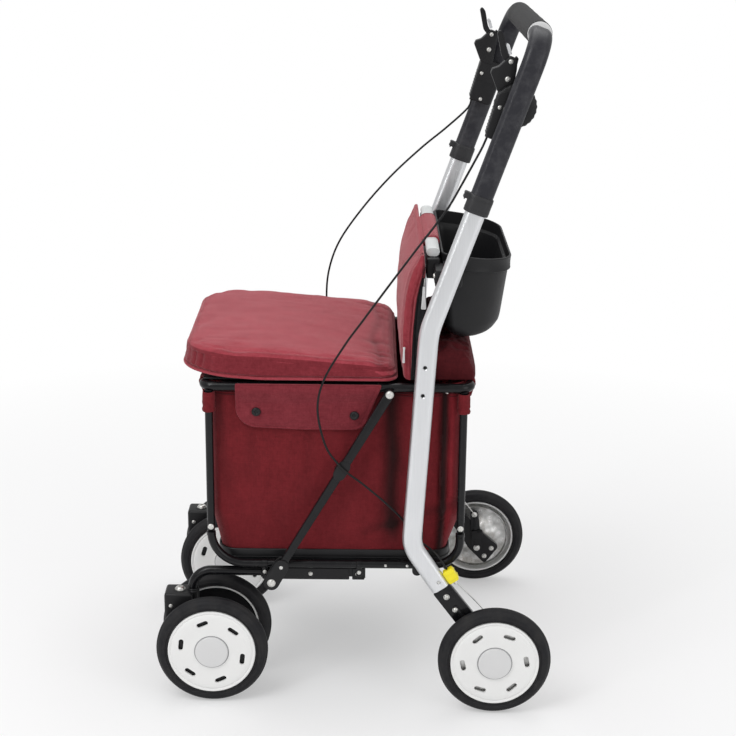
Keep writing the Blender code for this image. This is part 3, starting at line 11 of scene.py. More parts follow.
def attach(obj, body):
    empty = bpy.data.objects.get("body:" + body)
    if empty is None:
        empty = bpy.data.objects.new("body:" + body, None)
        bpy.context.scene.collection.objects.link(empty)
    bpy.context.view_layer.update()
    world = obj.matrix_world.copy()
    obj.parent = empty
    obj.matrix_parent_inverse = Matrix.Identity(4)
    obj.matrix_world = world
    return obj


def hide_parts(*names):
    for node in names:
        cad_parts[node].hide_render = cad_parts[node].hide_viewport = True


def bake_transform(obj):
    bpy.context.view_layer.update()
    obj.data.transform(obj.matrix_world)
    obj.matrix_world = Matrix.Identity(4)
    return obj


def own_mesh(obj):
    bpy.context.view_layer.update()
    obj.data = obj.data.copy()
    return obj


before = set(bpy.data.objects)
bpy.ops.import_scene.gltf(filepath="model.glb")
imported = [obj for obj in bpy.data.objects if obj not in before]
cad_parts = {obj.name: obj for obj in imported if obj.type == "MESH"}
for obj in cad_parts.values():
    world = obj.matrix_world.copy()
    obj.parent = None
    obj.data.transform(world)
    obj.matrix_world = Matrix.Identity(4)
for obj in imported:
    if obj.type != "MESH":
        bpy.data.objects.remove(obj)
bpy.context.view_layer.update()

SIDES = {"left": -1, "right": 1}
LOOKS = {}

# The camera, fitted to the photograph
CAMERA_PLACE = (0.01719, -2.22943, 1.12896)
CAMERA_RIGHT = (0.999951, 0.002677, 0.009484)
CAMERA_UP = (-0.009851, 0.298066, 0.954494)
CAMERA_FORWARD = (0.000271, 0.954541, -0.298078)
CAMERA_LENS = 78.6

# Handle, side tubes and cross bar, as in the model
LEAN = math.radians(19.4)
FORWARD = Vector((-math.cos(LEAN), 0.0, math.sin(LEAN)))
COLLAR_X, COLLAR_Z = 0.1557, 0.7101
COLLAR_START, COLLAR_END = -0.006, 0.018
BUTTON_AT = COLLAR_START + 0.0175
GRIP_AT, GRIP_HALF = 0.23, 0.15
TUBE_Y = 0.1985
HOUSING_Y = 0.172
BAR_X, BAR_Z, BAR_HALF = 0.103, 0.639, 0.14


# Camera, light and stage


def linked(name, data):
    """A new object in the scene."""
    made = bpy.data.objects.new(name, data)
    bpy.context.scene.collection.objects.link(made)
    return made


def make_camera():
    data = bpy.data.cameras.new("camera")
    data.lens = CAMERA_LENS
    data.sensor_width = 36.0
    data.clip_start = 0.1
    data.clip_end = 50.0
    camera = linked("camera", data)
    right, up, forward = (Vector(v) for v in (CAMERA_RIGHT, CAMERA_UP, CAMERA_FORWARD))
    turn = Matrix((right, up, -forward)).transposed().to_4x4()
    camera.matrix_world = Matrix.Translation(CAMERA_PLACE) @ turn
    bpy.context.scene.camera = camera


def make_lamp(name, place, target, size, power, height=None):
    data = bpy.data.lights.new(name, "AREA")
    data.energy = power
    data.size = size
    if height:
        data.shape = "RECTANGLE"
        data.size_y = height
    lamp = linked(name, data)
    lamp.location = place
    aim = Vector(target) - Vector(place)
    lamp.rotation_euler = aim.to_track_quat("-Z", "Y").to_euler()


def make_stage():
    """A white room: the world is white to the camera, and softer as a light."""
    scene = bpy.context.scene
    scene.view_settings.view_transform = "Standard"
    world = bpy.data.worlds.new("world")
    scene.world = world
    world.use_nodes = True
    tree = world.node_tree
    rays = node(tree, "LightPath").outputs
    seen = combine(tree, "MAXIMUM", rays["Is Camera Ray"], rays["Is Transmission Ray"])
    background = tree.nodes["Background"]
    background.inputs["Color"].default_value = (1.0, 1.0, 1.0, 1.0)
    link(tree, spread(tree, seen, 0.0, 1.0, 0.62, 1.0), background, "Strength")

    bpy.ops.mesh.primitive_plane_add(size=14.0, location=(0.0, 2.0, 0.0))
    floor = bpy.context.object
    floor.name = "floor"
    floor.data.materials.append(floor_material())

    make_lamp("key", (-1.1, -1.2, 2.4), (0.0, 0.0, 0.45), 1.4, 20.0)
    make_lamp("strip", (-1.3, -1.5, 1.5), (0.0, 0.0, 0.5), 0.14, 7.0, 1.8)
    make_lamp("fill", (1.6, -1.6, 1.2), (0.0, 0.0, 0.5), 1.2, 9.0, 1.8)
    make_lamp("top", (0.2, 0.6, 2.3), (0.0, 0.0, 0.4), 1.6, 14.0)


# Materials


def new_material(name, roughness, metallic=0.0, **sockets):
    """A material and its Principled shader. sockets are socket names with _ for a space."""
    made = bpy.data.materials.new(name)
    made.use_nodes = True
    shader = made.node_tree.nodes["Principled BSDF"]
    for socket, value in {"Roughness": roughness, "Metallic": metallic, **sockets}.items():
        shader.inputs[socket.replace("_", " ")].default_value = value
    return made, made.node_tree, shader


def node(tree, kind, inputs=(), **settings):
    """Adds a node. inputs pairs a socket's name or number with a value or another node's socket."""
    made = tree.nodes.new("ShaderNode" + kind)
    for setting, value in settings.items():
        setattr(made, setting, value)
    for socket, value in dict(inputs).items():
        if isinstance(value, bpy.types.NodeSocket):
            tree.links.new(value, made.inputs[socket])
        else:
            made.inputs[socket].default_value = value
    return made


def link(tree, value, shader, socket):
    tree.links.new(value, shader.inputs[socket])


def place_in(tree, scale=(1.0, 1.0, 1.0)):
    """The point on the piece, in metres times a scale."""
    point = node(tree, "TexCoord").outputs["Object"]
    return node(tree, "Mapping", {"Vector": point, "Scale": scale}).outputs[0]


def grain(tree, scale, detail=3.0, roughness=0.55, size=(1.0, 1.0, 1.0)):
    """Noise from 0 to 1, stretched by size."""
    inputs = {"Vector": place_in(tree, size), "Scale": scale, "Detail": detail, "Roughness": roughness}
    return node(tree, "TexNoise", inputs).outputs[0]


def cells(tree, scale):
    return node(tree, "TexVoronoi", {"Vector": place_in(tree), "Scale": scale}).outputs["Distance"]


def spread(tree, value, low, high, to_low, to_high):
    inputs = {"Value": value, 1: low, 2: high, 3: to_low, 4: to_high}
    return node(tree, "MapRange", inputs).outputs[0]


def combine(tree, kind, first, second=0.5):
    return node(tree, "Math", {0: first, 1: second}, operation=kind).outputs[0]


def mixed(tree, share, first, second):
    def colour(value):
        return value if isinstance(value, bpy.types.NodeSocket) else (*value, 1.0)

    inputs = {0: share, 6: colour(first), 7: colour(second)}
    return node(tree, "Mix", inputs, data_type="RGBA").outputs[2]


def dress(tree, shader, colour, gloss, height, distance, strength):
    """Sets the colour, the roughness where gloss is given, and the bump."""
    link(tree, colour, shader, "Base Color")
    if gloss is not None:
        link(tree, gloss, shader, "Roughness")
    bump = node(tree, "Bump", {"Height": height, "Distance": distance, "Strength": strength})
    link(tree, bump.outputs[0], shader, "Normal")


def fabric_material(name, dark, light, sheen=0.55):
    """Woven melange: slubs along the threads, cloudy dye, a raised weave and a soft sheen. The mesh
    says how deep a point lies in a fold, and that darkens it as painted shade."""
    sockets = {"Sheen_Weight": sheen, "Sheen_Roughness": 0.35, "Specular_IOR_Level": 0.25}
    made, tree, shader = new_material(name, 0.85, **sockets)
    shader.inputs["Sheen Tint"].default_value = (1.0, 0.62, 0.64, 1.0)
    along = ((0.07, 1.0, 1.0), (1.0, 0.07, 1.0), (1.0, 1.0, 0.07))
    slubs = total(tree, [grain(tree, 620.0, 2.0, 0.6, size) for size in along])
    cloud = grain(tree, 38.0, 5.0, 0.65)
    mottle = grain(tree, 210.0, 3.0, 0.6)
    parts = []
    for value, middle, weight in ((slubs, 1.5, 0.7), (cloud, 0.5, 1.1), (mottle, 0.5, 1.0)):
        parts.append(combine(tree, "MULTIPLY", combine(tree, "SUBTRACT", value, middle), weight))
    share = spread(tree, total(tree, parts), -0.75, 0.75, 0.0, 1.0)
    # Painted shade: where the mesh marks a fold, the cloth goes down to a sixth of its dark colour.
    fold = node(tree, "Attribute", attribute_name="fold").outputs["Fac"]
    cloth = mixed(tree, fold, mixed(tree, share, dark, light), [c * 0.16 for c in dark])
    height = total(tree, [weave_height(tree), combine(tree, "MULTIPLY", slubs, 0.6)])
    dress(tree, shader, cloth, spread(tree, share, 0.0, 1.0, 0.92, 0.74), height, 0.00022, 0.55)
    return made


def total(tree, values):
    first, *others = values
    for value in others:
        first = combine(tree, "ADD", first, value)
    return first


def weave_height(tree, pitch=0.0013):
    """Threads that cross: the sum of three products of sines, one for each pair of axes."""
    vector = place_in(tree, (2 * math.pi / pitch,) * 3)
    parts = node(tree, "SeparateXYZ", {0: vector})
    waves = [node(tree, "Math", {0: out}, operation="SINE").outputs[0] for out in parts.outputs]
    return total(tree, [combine(tree, "MULTIPLY", waves[i], waves[(i + 1) % 3]) for i in range(3)])


def plastic_material(name, colour, roughness, grain_size=900.0, depth=0.00006, spots=0.12):
    """Moulded plastic: a fine spark-eroded grain, slight colour drift and finger-worn gloss."""
    sockets = {"Specular_IOR_Level": 0.28} if sum(colour) < 0.2 else {}
    made, tree, shader = new_material(name, roughness, **sockets)
    low = [c * (1 - spots) for c in colour]
    high = [min(1.0, c * (1 + spots)) for c in colour]
    tint = mixed(tree, grain(tree, 22.0, 4.0), low, high)
    worn = combine(tree, "MULTIPLY", grain(tree, 55.0, 5.0, 0.7), 0.22)
    gloss = combine(tree, "ADD", worn, roughness - 0.11)
    dress(tree, shader, tint, gloss, grain(tree, grain_size, 2.0), depth, 0.6)
    return made


def worn_material(name, roughness, metallic, colours, cloud, tone, window, gloss, bump, **sockets):
    """Two colours and two degrees of gloss, mixed by one cloudy noise, over a finer, raised one.
    tone and window say which range of the noise counts for the colour and for the gloss."""
    made, tree, shader = new_material(name, roughness, metallic, **sockets)
    patch = grain(tree, *cloud)
    tint = mixed(tree, spread(tree, patch, *tone, 0.0, 1.0), *colours)
    height = grain(tree, *bump[:2])
    dress(tree, shader, tint, spread(tree, patch, *window, *gloss), height, *bump[2:])
    return made


def paint_material(name, shine, coat, tone, satin):
    """Semi-gloss powder coat with a faint orange peel and dust in places."""
    # tone scales both colours; above 1 it lightens the paint as painted highlight.
    colours = [[c * tone for c in colour] for colour in ((0.0035, 0.0035, 0.0045), (0.01, 0.01, 0.011))]
    dust = (0.45, 0.8)
    return worn_material(
        name, 0.26, 0.0, colours, (60.0, 6.0, 0.7), dust, dust, (satin, satin + 0.16),
        (420.0, 1.0, 0.00003, 0.25), Specular_IOR_Level=shine, Coat_Weight=coat, Coat_Roughness=0.16,
    )


def metal_material(name, roughness, metallic, colours, lines, haze, gloss, rub=None):
    """Satin metal: fine lengthwise brushing, a soft haze and faint rubs."""
    made, tree, shader = new_material(name, roughness, metallic)
    brushed = grain(tree, lines[0], 2.0, 0.6, lines[1])
    cloud = grain(tree, haze, 5.0)
    share = combine(tree, "MULTIPLY", total(tree, [brushed, cloud]), 0.5)
    marks = grain(tree, 150.0, 4.0, size=rub) if rub else cloud
    tint = mixed(tree, share, *colours)
    dress(tree, shader, tint, spread(tree, marks, 0.3, 0.7, *gloss), brushed, 0.00002, 0.4)
    return made


def drum_material():
    """Pressed, galvanised steel with a leafy spangle and brown smears."""
    made, tree, shader = new_material("galvanised_steel", 0.3, 0.9)
    spangle = cells(tree, 110.0)
    smear = spread(tree, grain(tree, 45.0, 6.0, 0.75), 0.5, 0.7, 0.0, 1.0)
    metal = mixed(tree, spangle, (0.78, 0.78, 0.77), (0.42, 0.42, 0.41))
    tint = mixed(tree, combine(tree, "MULTIPLY", smear, 0.6), metal, (0.2, 0.16, 0.11))
    dress(tree, shader, tint, spread(tree, spangle, 0.0, 0.8, 0.18, 0.5), spangle, 0.0004, 0.6)
    return made


def foam_material():
    """Closed-cell foam: open pores at the skin and a dry, dusty surface."""
    sockets = {"Specular_IOR_Level": 0.2, "Sheen_Weight": 0.06, "Sheen_Roughness": 0.6}
    made, tree, shader = new_material("grip_foam", 0.92, **sockets)
    tint = mixed(tree, grain(tree, 70.0, 5.0), (0.013, 0.013, 0.014), (0.03, 0.03, 0.031))
    pores = total(tree, [cells(tree, 520.0), combine(tree, "MULTIPLY", grain(tree, 1100.0), 0.7)])
    dress(tree, shader, tint, None, pores, 0.0005, 0.7)
    return made


def floor_material():
    """White paper near and far, which keeps the soft shadows round the wheels."""
    made, tree, shader = new_material("floor_paper", 0.9, Specular_IOR_Level=0.15)
    shader.inputs["Base Color"].default_value = (0.86, 0.86, 0.865, 1.0)
    glow = node(tree, "Emission", {"Color": (1.0, 1.0, 1.0, 1.0), "Strength": 1.0}).outputs[0]
    point = node(tree, "TexCoord").outputs["Object"]
    reach = node(tree, "VectorMath", {0: point, 1: (0.0, -2.0, 0.0)}, operation="DISTANCE")
    far = spread(tree, reach.outputs["Value"], 0.45, 1.5, 0.35, 1.0)
    seen = node(tree, "LightPath").outputs["Is Camera Ray"]
    share = combine(tree, "MULTIPLY", far, seen)
    blend = node(tree, "MixShader", {0: share, 1: shader.outputs[0], 2: glow})
    link(tree, blend.outputs[0], tree.nodes["Material Output"], "Surface")
    return made


def make_looks():
    cloths = {
        # painted light and shade: the seat's top and its side band are a lighter and a darker copy of one
        # cloth
        "top": ("red_cloth_seat", (0.22, 0.02, 0.03), (0.42, 0.06, 0.082)),
        "side": ("red_cloth_band", (0.12, 0.009, 0.014), (0.25, 0.026, 0.038), 0.3),
        "back": ("red_cloth_back", (0.2, 0.018, 0.026), (0.38, 0.052, 0.07)),
        "flap": ("red_cloth_flap", (0.12, 0.01, 0.016), (0.25, 0.03, 0.042), 0.4),
        "bag": ("red_cloth_bag", (0.095, 0.005, 0.008), (0.205, 0.012, 0.018), 0.1),
        "strap": ("red_cloth_strap", (0.16, 0.009, 0.014), (0.31, 0.022, 0.032), 0.15),
        # painted shade: a darker copy of the bag's cloth, for the shadow under the basket
        "hood": ("red_cloth_hood", (0.045, 0.002, 0.004), (0.11, 0.006, 0.01), 0.08),
        "lining": ("black_lining", (0.006, 0.006, 0.007), (0.02, 0.02, 0.022), 0.1),
    }
    plastics = {
        "collar": ("collar_moulding", (0.03, 0.03, 0.032), 0.42),
        "black": ("black_moulding", (0.01, 0.01, 0.011), 0.4),
        "tub": ("basket_moulding", (0.01, 0.01, 0.011), 0.44, 700.0),
        "button": ("button_moulding", (0.05, 0.05, 0.055), 0.35),
        "white": ("white_moulding", (0.8, 0.8, 0.79), 0.38, 800.0, 0.00003, 0.03),
        "cap": ("cap_moulding", (0.66, 0.66, 0.66), 0.42, 800.0, 0.00003, 0.03),
        # painted shade: a grey ring in the gap round the hub cap
        "groove": ("groove_moulding", (0.3, 0.3, 0.31), 0.5),
        "yellow": ("yellow_moulding", (0.86, 0.74, 0.015), 0.36, 900.0, 0.00004, 0.05),
        "stitch": ("dark_red_thread", (0.06, 0.006, 0.009), 0.7, 1500.0),
    }
    paints = {
        "paint": ("black_tube_paint", 0.24, 0.12, 1.0, 0.2),
        # painted highlight: tone 5 makes the handle's paint lighter than the other tubes', for the highlights
        # on it
        "handle_paint_highlight": ("handle_tube_paint", 0.34, 0.0, 5.0, 0.34),
    }
    metals = {
        "silver": (
            "satin_silver", 0.34, 0.85, ((0.66, 0.67, 0.69), (0.84, 0.85, 0.86)),
            (900.0, (1.0, 1.0, 0.02)), 14.0, (0.3, 0.42), (1.0, 1.0, 0.15),
        ),
        "light_bar": (
            "pale_bar", 0.42, 0.35, ((0.6, 0.62, 0.62), (0.76, 0.78, 0.77)),
            (700.0, (1.0, 0.03, 1.0)), 30.0, (0.36, 0.5),
        ),
    }
    for make, table in (
        (fabric_material, cloths), (plastic_material, plastics), (paint_material, paints),
        (metal_material, metals),
    ):
        for name, values in table.items():
            LOOKS[name] = make(*values)
    # Zinc-plated steel, slightly yellow and a little dirty
    LOOKS["bolt"] = worn_material(
        "zinc_bolts", 0.3, 0.9, ((0.55, 0.54, 0.5), (0.86, 0.86, 0.85)), (160.0, 5.0),
        (0.0, 1.0), (0.2, 0.8), (0.22, 0.42), (1500.0, 1.0, 0.00003, 0.4),
    )
    # A solid tyre with moulding haze, dust in patches and a fine pebble
    LOOKS["tyre"] = worn_material(
        "tyre", 0.72, 0.0, ((0.011, 0.011, 0.013), (0.03, 0.029, 0.029)), (48.0, 7.0, 0.7),
        (0.4, 0.75), (0.4, 0.75), (0.55, 0.82), (700.0, 3.0, 0.00012, 0.5), Specular_IOR_Level=0.22,
    )
    # A glossy plastic sheath
    LOOKS["cable"] = worn_material(
        "cable_sheath", 0.35, 0.0, ((0.004, 0.004, 0.005), (0.012, 0.012, 0.012)), (60.0, 4.0),
        (0.0, 1.0), (0.3, 0.7), (0.28, 0.45), (1300.0, 1.0, 0.00004, 0.4), Specular_IOR_Level=0.25,
    )
    LOOKS["foam"] = foam_material()
    LOOKS["drum"] = drum_material()


# Shapes: each of these returns (points, faces)


def even(start, end, steps):
    """Values at even steps, with both ends."""
    return [start + (end - start) * index / steps for index in range(steps + 1)]


def angles(steps):
    """The angles of a whole turn."""
    return [2 * math.pi * index / steps for index in range(steps)]


def arc(centre, radius, start, end, steps):
    """(x, y) points along an arc, angles in radians."""
    x, y = centre
    return [(x + radius * math.cos(turn), y + radius * math.sin(turn)) for turn in even(start, end, steps)]


def loft(rings, capped=True):
    """Skins closed rings with the same number of points. Each ring is a list of points."""
    count = len(rings[0])
    points = [tuple(p) for ring in rings for p in ring]
    last = len(points) - count
    faces = []
    for low in range(0, last, count):
        for index in range(count):
            after = (index + 1) % count
            faces.append((low + index, low + after, low + count + after, low + count + index))
    if capped:
        faces += [tuple(reversed(range(count))), tuple(range(last, last + count))]
    return points, faces


def sweep(path, section, side=None, closed=False, scales=None):
    """Carries a section of (a, b) points along a path: b lies along side, or turns with the path."""
    path = [Vector(p) for p in path]
    count = len(path)
    rings = []
    carried = None
    for index, point in enumerate(path):
        before = path[index - 1] if index or closed else point
        after = path[(index + 1) % count] if index < count - 1 or closed else point
        along = (after - before).normalized()
        if side is not None:
            b_axis = Vector(side)
        else:
            if carried is None:
                carried = along.orthogonal().normalized()
            carried = (carried - along * carried.dot(along)).normalized()
            b_axis = carried
        a_axis = b_axis.cross(along).normalized()
        b_axis = along.cross(a_axis).normalized()
        scale = scales[index] if scales else 1.0
        rings.append([point + (a_axis * a + b_axis * b) * scale for a, b in section])
    if not closed:
        return loft(rings)
    points, faces = loft([*rings, rings[0]], False)
    limit = len(points) - len(section)
    return points[:limit], [tuple(p % limit for p in face) for face in faces]


def round_section(radius, steps=16):
    return [(radius * math.cos(turn), radius * math.sin(turn)) for turn in angles(steps)]


def oval_section(width, height, steps=12):
    """A flat oval, its long way along the first axis."""
    radius = height / 2
    reach = width / 2 - radius
    quarter = math.pi / 2
    right = arc((reach, 0.0), radius, -quarter, quarter, steps)
    return right + arc((-reach, 0.0), radius, quarter, 3 * quarter, steps)


def rounded_path(corners, radii, step=math.radians(5), closed=False):
    """The corners joined by straight runs, with an arc of the given radius at each inner corner."""
    corners = [Vector(corner).to_3d() for corner in corners]
    if closed:
        corners = [corners[-1], *corners, corners[0]]
    points = [] if closed else [corners[0]]
    for before, corner, after, radius in zip(corners, corners[1:], corners[2:], radii):
        to_before = (before - corner).normalized()
        to_after = (after - corner).normalized()
        angle = to_before.angle(to_after)
        reach = radius / math.tan(angle / 2)
        centre = corner + (to_before + to_after).normalized() * (radius / math.sin(angle / 2))
        arm = corner + to_before * reach - centre
        other = corner + to_after * reach - centre
        turn = math.pi - angle
        for share in even(0.0, 1.0, max(2, math.ceil(turn / step))):
            weight = math.sin((1 - share) * turn) / math.sin(turn)
            other_weight = math.sin(share * turn) / math.sin(turn)
            points.append(centre + arm * weight + other * other_weight)
    if not closed:
        points.append(corners[-1])
    return points


def subdivided(path, step):
    """The same path with extra points, so that no run is longer than step."""
    fine = [Vector(path[0])]
    for a, b in zip(path, path[1:]):
        a, b = Vector(a), Vector(b)
        count = max(1, math.ceil((b - a).length / step))
        fine += [a.lerp(b, index / count) for index in range(1, count + 1)]
    return fine


def turned(profile, centre, axis, steps=64):
    """A turned solid: a closed profile of (radius, height) points, height along axis."""
    turn = Vector((0, 0, 1)).rotation_difference(Vector(axis)).to_matrix()
    centre = Vector(centre)
    points, faces, rows = [], [], []
    for radius, height in profile:
        spots = angles(steps) if radius > 1e-6 else [0.0]
        rows.append([len(points) + index % len(spots) for index in range(steps)])
        for angle in spots:
            spot = Vector((radius * math.cos(angle), radius * math.sin(angle), height))
            points.append(tuple(centre + turn @ spot))
    whole = profile[0][0] > 1e-6 or profile[-1][0] > 1e-6
    pairs = list(zip(rows, rows[1:])) + ([(rows[-1], rows[0])] if whole else [])
    for one, other in pairs:
        for index in range(steps):
            after = (index + 1) % steps
            face = tuple(dict.fromkeys((one[index], one[after], other[after], other[index])))
            if len(face) > 2:
                faces.append(face)
    return points, faces


def from_bmesh(build):
    builder = bmesh.new()
    build(builder)
    builder.verts.index_update()
    points = [tuple(v.co) for v in builder.verts]
    faces = [tuple(v.index for v in f.verts) for f in builder.faces]
    builder.free()
    return points, faces


def bevel_sharp(builder, width, segments, angle=math.radians(40)):
    edges = [e for e in builder.edges if len(e.link_faces) == 2 and e.calc_face_angle(0) > angle]
    bmesh.ops.bevel(
        builder, geom=edges, offset=width, segments=segments, profile=0.5, affect="EDGES",
        clamp_overlap=True,
    )


def block(low, high, bevel=0.001, segments=3):
    """A block with rounded edges."""

    def build(builder):
        bmesh.ops.create_cube(builder, size=1.0)
        size = Vector(high) - Vector(low)
        middle = (Vector(high) + Vector(low)) / 2
        for vert in builder.verts:
            vert.co = vert.co * size + middle
        bevel_sharp(builder, bevel, segments)

    return from_bmesh(build)


def side_block(side, low, high, bevel, segments=3):
    """A block that is given for the right side, or its mirror image."""
    low_y, high_y = sorted((side * low[1], side * high[1]))
    return block((low[0], low_y, low[2]), (high[0], high_y, high[2]), bevel, segments)


def plate(outline, y_from, y_to, bevel=0.0006, segments=2):
    """An upright plate: an outline of (x, z) points between two places along Y, edges rounded."""

    def build(builder):
        near = [builder.verts.new((x, y_from, z)) for x, z in outline]
        far = [builder.verts.new((x, y_to, z)) for x, z in outline]
        builder.faces.new(near)
        builder.faces.new(list(reversed(far)))
        count = len(near)
        for index in range(count):
            after = (index + 1) % count
            builder.faces.new((near[index], far[index], far[after], near[after]))
        bmesh.ops.recalc_face_normals(builder, faces=builder.faces)
        bevel_sharp(builder, bevel, segments)

    return from_bmesh(build)


def outline_of(corners, radii, step=math.radians(14)):
    """A closed outline of (x, z) corners, each rounded by its radius, or all by the same one."""
    if isinstance(radii, float):
        radii = [radii] * len(corners)
    path = rounded_path([(x, z, 0.0) for x, z in corners], radii, step, closed=True)
    return [(point.x, point.y) for point in path]


def capsule(first, first_radius, second, second_radius, steps=14):
    """Outline round two circles and the straight sides between them."""
    first, second = Vector(first), Vector(second)
    heading = math.atan2(second.y - first.y, second.x - first.x)
    lean = math.asin((first_radius - second_radius) / (second - first).length)
    half = math.pi / 2 - lean
    near = arc(first, first_radius, heading + half, heading + 2 * math.pi - half, steps)
    return near + arc(second, second_radius, heading - half, heading + half, steps)


def bolt_head(centre, axis, radius, height):
    """A low domed head on a washer, with a hex socket's rim."""
    shares = (
        (0.0, 0.45), (0.28, 0.45), (0.32, 0.97), (0.42, 0.99), (0.62, 0.9), (0.78, 0.68),
        (0.86, 0.38), (0.87, 0.22), (0.98, 0.2), (1.0, 0.12), (1.0, -0.3), (0.0, -0.3),
    )
    return turned([(radius * r, height * h) for r, h in shares], centre, axis, 28)


def across(x, z, y_from, y_to, radius, edge=0.0006, steps=28):
    """A round bar from side to side, its ends chamfered."""
    length = abs(y_to - y_from)
    axis = (0, 1 if y_to > y_from else -1, 0)
    profile = [
        (0.0, 0.0), (radius - edge, 0.0), (radius, edge), (radius, length - edge),
        (radius - edge, length), (0.0, length),
    ]
    return turned(profile, (x, y_from, z), axis, steps)


def carved(shape, cutters, merge=0.0):
    """A shape with others cut out of it. merge is how close two of its points may be."""
    body = Shape().add(shape).piece("carved_work", "")
    tools = [Shape().add(cutter).piece("cutter_work", "") for cutter in cutters]
    for tool in tools:
        body.modifiers.new("cut", "BOOLEAN").object = tool
    mesh = evaluated_copy(body)
    for work in (body, *tools):
        bpy.data.objects.remove(work)

    def build(builder):
        builder.from_mesh(mesh)
        if merge:
            bmesh.ops.remove_doubles(builder, verts=builder.verts, dist=merge)

    return from_bmesh(build)


class Shape:
    """Collects shapes with a material number each, and becomes one mesh piece."""

    def __init__(self):
        self.points, self.faces, self.numbers = [], [], []

    def add(self, shape, number=0):
        points, faces = shape
        start = len(self.points)
        self.points += [tuple(p) for p in points]
        self.faces += [tuple(start + index for index in face) for face in faces]
        self.numbers += [number] * len(faces)
        return self

    def placed(self, matrix):
        """The same shape, moved."""
        moved = Shape()
        moved.points = [tuple(matrix @ Vector(point)) for point in self.points]
        moved.faces, moved.numbers = self.faces, self.numbers
        return moved

    def bolt(self, side, x, y, z, radius, height, way=1, number=1):
        """A bolt head on one side of the rollator, which looks outwards, or inwards with way -1."""
        return self.add(bolt_head((x, side * y, z), (0, side * way, 0), radius, height), number)

    def piece(self, name, looks, sharp=38.0):
        """The mesh as an object. looks names its materials, in the order of their numbers."""
        mesh = bpy.data.meshes.new(name)
        mesh.from_pydata(self.points, [], self.faces)
        builder = bmesh.new()
        builder.from_mesh(mesh)
        bmesh.ops.recalc_face_normals(builder, faces=builder.faces)
        builder.to_mesh(mesh)
        builder.free()
        mesh.polygons.foreach_set("material_index", self.numbers)
        for look in looks.split():
            mesh.materials.append(LOOKS[look])
        mesh.shade_smooth()
        mesh.set_sharp_from_angle(angle=math.radians(sharp))
        return linked(name, mesh)

    def put(self, name, looks, body, slot, *replaced, sharp=35.0):
        """Makes the piece and puts it on its body."""
        return set_down(self.piece(name, looks, sharp), body, slot, *replaced)


def set_down(piece, body, slot, *replaced):
    """Puts a finished piece on its body, and hides the parts that it replaces."""
    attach(piece, body)
    if replaced:
        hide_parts(*replaced)
    return piece


def evaluated_copy(obj):
    """The object's mesh with its modifiers applied."""
    bpy.context.view_layer.update()
    graph = bpy.context.evaluated_depsgraph_get()
    return bpy.data.meshes.new_from_object(obj.evaluated_get(graph))


def handle_point(along, forward=0.0, y=0.0):
    """A point beside the handle's leg: along it from the collar, and forward of its middle."""
    return Vector((
        COLLAR_X + along * math.sin(LEAN) - forward * math.cos(LEAN),
        y,
        COLLAR_Z + along * math.cos(LEAN) + forward * math.sin(LEAN),
    ))


def beside_handle(points, radii=None):
    """(forward, along) points beside the handle's leg as (x, z) points, rounded where radii are given."""
    spots = [handle_point(along, forward) for forward, along in points]
    outline = [(spot.x, spot.z) for spot in spots]
    return outline_of(outline, radii) if radii else outline


# Wheels

TYRE_RADIUS = 0.0785
TYRE_TOP, TYRE_LOW = 0.0095, -0.0135
RIM_RADIUS = 0.0613
RIM_FACE = 0.0105
WHEEL_X, REAR_WHEEL_Y = 0.197, 0.221
CASTER_Y = 0.152
MIDDLE, UP = (0, 0, 0), (0, 0, 1)


def tyre_mesh():
    """Flat sides with a raised ring and a moulding groove, and a crowned tread with two fine lines."""
    middle = (TYRE_TOP + TYRE_LOW) / 2
    half = (TYRE_TOP - TYRE_LOW) / 2
    side = [
        (RIM_RADIUS + 0.0003, half - 0.0022), (RIM_RADIUS + 0.0012, half - 0.0006),
        (0.0636, half - 0.0002), (0.0642, half - 0.0009), (0.065, half - 0.0009),
        (0.0656, half - 0.0001), (0.0683, half), (0.0688, half - 0.0005), (0.0696, half - 0.0005),
    ]
    side += arc((0.0697, half - 0.0072), 0.0064, math.radians(88), math.radians(22), 9)
    side += [(0.0768, half - 0.0068), (TYRE_RADIUS - 0.0008, half - 0.0078)]
    side += [(TYRE_RADIUS - 0.0002, half - 0.009)]
    profile = side + [(r, -h) for r, h in reversed(side)]
    return Shape().add(turned([(r, middle + h) for r, h in profile], MIDDLE, UP, 96))


